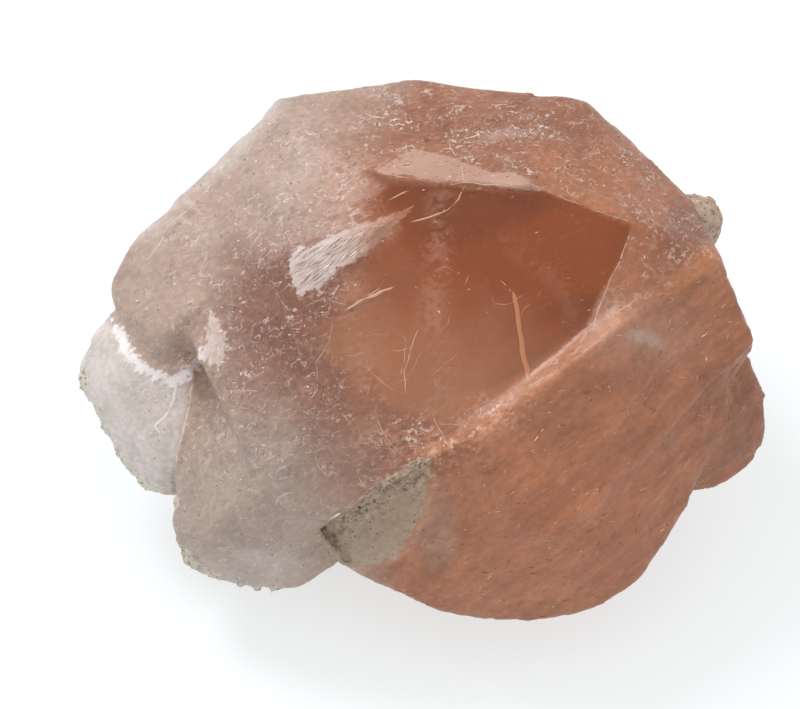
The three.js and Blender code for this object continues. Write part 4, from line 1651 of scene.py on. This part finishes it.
@dataclass
class SkinBits:
    """The small bits on the stone's skin: broken chips, ticks, splinters and dark grains."""

    surface: SurfaceMap
    stand: FaceFrame
    stone: Object
    points: Array
    broken: Material
    chips_per_mm2: float = 26
    ticks_per_mm2: float = 2.2
    splinters_per_mm2: float = 16
    grains_per_mm2: float = 11

    def scatter(
        self, name: str, bit: Bit, finish: Material, spread: Array, per_mm2: float
    ) -> None:
        """Spreads bits over a copy of the stone's skin, which is taken away again.

        Args:
            name: the piece's name.
            bit: the shape and size of each bit.
            finish: the bits' material.
            spread: how thick they lie at each of the skin's points, 0 to 1.
            per_mm2: how many to a square millimetre where spread is 1.
        """
        base = bpy.data.objects.new(f"{name}_places", self.stone.data.copy())
        bpy.context.scene.collection.objects.link(base)
        above_table = self.points @ self.stand.form.up() + self.stand.form.rest_height
        store(base.data, "spread", spread * smooth(0.3, 0.8, above_table))
        Scatter(name, bit, finish, len(name)).build(base, True, per_mm2)

    def fibre_direction(self) -> Place:
        """The direction of the fibres in the frame."""
        angle = math.radians(self.surface.fibre_angle)
        ends = self.stand.turned(np.array([[0, 0, 0], [math.cos(angle), math.sin(angle), 0]]))
        along = (ends[1] - ends[0]) / MM
        return tuple(along)

    def zone(self, zone: Zone, soft: float = 0.2) -> Array:
        """How far each of the skin's points lies within a zone of the face, 0 to 1."""
        front = self.surface.is_front(self.points)
        return smooth(-soft, soft, in_zone(zone, self.points)) * front

    def chips(self) -> None:
        """The crumpled crowds of tiny chips over the etched parts, and a few elsewhere."""
        points = self.points
        crowds = smooth(-0.1, 0.5, waves(points, 1.5, 55) + 0.45 * waves(points, 0.7, 56))
        clear = self.zone(Zone.WINDOW, 0.5)
        lobe = on_lobe(points)
        covered = np.maximum(self.zone(Zone.FLAKE), self.zone(Zone.GREY_PATCH))
        blotches = np.zeros(len(points))
        for blush in TONE_PATCHES_AND_EDGE_LIGHT:
            if blush.tone is Tone.FROSTED and blush.reach[1] < 1:
                away = (points[:, :2] - np.array(blush.middle)) / np.array(blush.reach)
                blotches = np.maximum(blotches, smooth(1.5, 0.3, np.linalg.norm(away, axis=1)))
        spread = (0.08 + self.surface.etched(points)) * (0.1 + 0.9 * crowds) + blotches
        spread *= (1 - 0.8 * clear) * (1 - 0.7 * lobe) * (1 - covered)
        spread *= 0.25 + 0.75 * self.surface.is_front(points)
        bit = Bit((1.0, 0.17, 0.14), 0.6, 0.05, 0.17)
        self.scatter("broken_chips", bit, self.broken, np.clip(spread, 0, 1), self.chips_per_mm2)

    def ticks(self) -> None:
        """The short ticks that rise to the right over the salmon lobe and the top band."""
        points = self.points
        lobe = on_lobe(points)
        top = smooth(11.5, 13.5, points[:, 1])
        crowds = smooth(-0.2, 0.7, waves(points, 2.4, 57))
        spread = np.maximum(lobe, 0.8 * top) * (0.25 + 0.75 * crowds)
        bit = Bit((1.0, 0.13, 0.1), 0.2, 0.08, 0.34, self.fibre_direction(), 0.7)
        # The ticks' pale and dark colours are painted glints and painted shade.
        finish = ChipFinish("ticked_beryl_glints_and_shade", light="#e8c8b4", dark="#5e3a2b", dark_up_to=0.42)
        self.scatter("lobe_ticks", bit, finish.material(), spread, self.ticks_per_mm2)

    def splinters(self) -> None:
        """The fine splinters that lie along the silver flake."""
        bit = Bit((1.0, 0.06, 0.05), 0.05, 0.15, 0.5, self.fibre_direction(), 0.12)
        # The splinters' pale and dark colours are painted glints and painted shade.
        finish = ChipFinish("silver_splinters_glints_and_shade", light="#f4f1ef", dark="#7d7069", dark_up_to=0.55)
        spread = smooth(0.15, 0.5, in_zone(Zone.FLAKE, self.points))
        spread *= self.surface.is_front(self.points)
        self.scatter("flake_splinters", bit, finish.material(), spread, self.splinters_per_mm2)

    def grains(self) -> None:
        """The dark grains in the crust on the edges, in its lump and in the grey patch."""
        crust = self.surface.crust(self.points)
        patch = in_zone(Zone.GREY_PATCH, self.points)
        band = smooth(-0.1, 0.2, patch) * smooth(1.5, 0.7, patch)
        upper = smooth(-9.5, -8.0, self.points[:, 1] - 0.6 * self.points[:, 0])
        patchy = smooth(-0.3, 0.4, waves(self.points, 0.9, 58))
        spread = smooth(0.45, 0.9, crust) * 0.8 + (0.25 + band * upper) * self.zone(Zone.GREY_PATCH)
        spread = np.clip(spread * (0.3 + 0.7 * patchy), 0, 1)
        spread += 0.02 * self.surface.is_front(self.points) * (1 - self.zone(Zone.WINDOW))
        bit = Bit((1.0, 0.7, 0.6), 0.2, 0.025, 0.07)
        finish = PlainFinish("dark_grain", "#4b4036", 0.7).material()
        self.scatter("crust_grains", bit, finish, spread, self.grains_per_mm2)

    def build(self) -> None:
        """Makes every kind of bit."""
        for kind in (self.chips, self.ticks, self.splinters, self.grains):
            kind()


@dataclass
class Studio:
    """The glowing white table, the light and the camera."""

    stand: FaceFrame
    frame_mm: float = 55.56
    lens: float = 500.0
    sensor: float = 36.0
    aim: Point = (-1.597, -0.243)
    sky: float = 0.92
    key_energy: float = 2.0
    table_glow: float = 0.635
    table_colour: Place = (0.32, 0.355, 0.365)
    table_half: float = 2.0
    lamp_size: float = 0.22
    lamp_place: Place = (-0.27, 0.27, 0.52)

    def table(self) -> None:
        """Lays a wide white table under the stone, lit a little from below."""
        half = self.table_half
        corners = np.array([(-half, -half, 0), (half, -half, 0), (half, half, 0), (-half, half, 0)])
        made = make_object("table", corners, [(0, 1, 2, 3)])
        finish = bpy.data.materials.new("table_white")
        finish.use_nodes = True
        shader = finish.node_tree.nodes["Principled BSDF"]
        looks = {
            "Base Color": (*self.table_colour, 1), "Roughness": 1.0, "Specular IOR Level": 0.0,
            "Emission Color": (1, 1, 1, 1), "Emission Strength": self.table_glow,
        }
        for name, value in looks.items():
            shader.inputs[name].default_value = value
        made.data.materials.append(finish)

    def light(self) -> None:
        """Even white light all round, and one large soft lamp behind the stone's upper left."""
        world = bpy.data.worlds.new("white_room")
        bpy.context.scene.world = world
        world.use_nodes = True
        back = world.node_tree.nodes["Background"]
        back.inputs["Color"].default_value = (1, 1, 1, 1)
        back.inputs["Strength"].default_value = self.sky
        lamp = bpy.data.lights.new("soft_lamp", "AREA")
        lamp.size = self.lamp_size
        lamp.energy = self.key_energy
        held = bpy.data.objects.new("soft_lamp", lamp)
        held.location = self.lamp_place
        held.rotation_euler = (-held.location).to_track_quat("-Z", "Y").to_euler()
        bpy.context.scene.collection.objects.link(held)

    def camera(self) -> None:
        """Looks straight at the broad face."""
        lens = bpy.data.cameras.new("camera")
        lens.lens = self.lens
        lens.sensor_width = self.sensor
        away = self.lens / self.sensor * self.frame_mm
        target = self.stand.point(self.aim[0], self.aim[1], 0)
        eye = self.stand.point(self.aim[0], self.aim[1], away)
        above = self.stand.point(self.aim[0], self.aim[1] + 1, 0) - target
        back = (eye - target).normalized()
        up = above.normalized()
        right = up.cross(back)
        turn = Matrix((right, up, back)).transposed().to_4x4()
        made = bpy.data.objects.new("camera", lens)
        made.matrix_world = Matrix.Translation(eye) @ turn
        lens.clip_start, lens.clip_end = 0.01, 10
        bpy.context.scene.collection.objects.link(made)
        bpy.context.scene.camera = made

    def build(self) -> None:
        """Sets up the table, the light and the camera."""
        self.table()
        self.light()
        self.camera()
        bpy.context.scene.view_settings.view_transform = "Standard"


def main() -> None:
    """Builds the stone and its surroundings."""
    logging.basicConfig(level=logging.INFO, format="%(name)s: %(message)s")
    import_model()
    form = StoneForm()
    surface = SurfaceMap()
    stand = FaceFrame(form)
    skin = FineSkin(form, surface)
    stone, points = StoneSkin(skin, BerylFinish(), stand).build()
    broken = ChipFinish("broken_beryl_glints_and_shade").material()
    threads = {
        "ridges": (RIDGES, 0.85), "healed_cracks": (PALE_LINES, 0.72),
        "hair_cracks": (HairCracks().lines(), 0.6), "growth_tube": (TUBES, 0.42),
        "dark_cracks_and_shadow_line": (DARK_CRACKS_AND_SHADOW_LINE, 0.0),
    }
    for name, (paths, shade) in threads.items():
        tube = {"proud": 0.12, "uneven": 0.14, "wander": 0.04} if paths is TUBES else {}
        Threads(name, paths, shade, broken, skin, stand, **tube).build()
    InnerGlints(form, stand).build()
    SkinBits(surface, stand, stone, points, broken).build()
    Studio(stand).build()


if __name__ == "__main__":
    main()
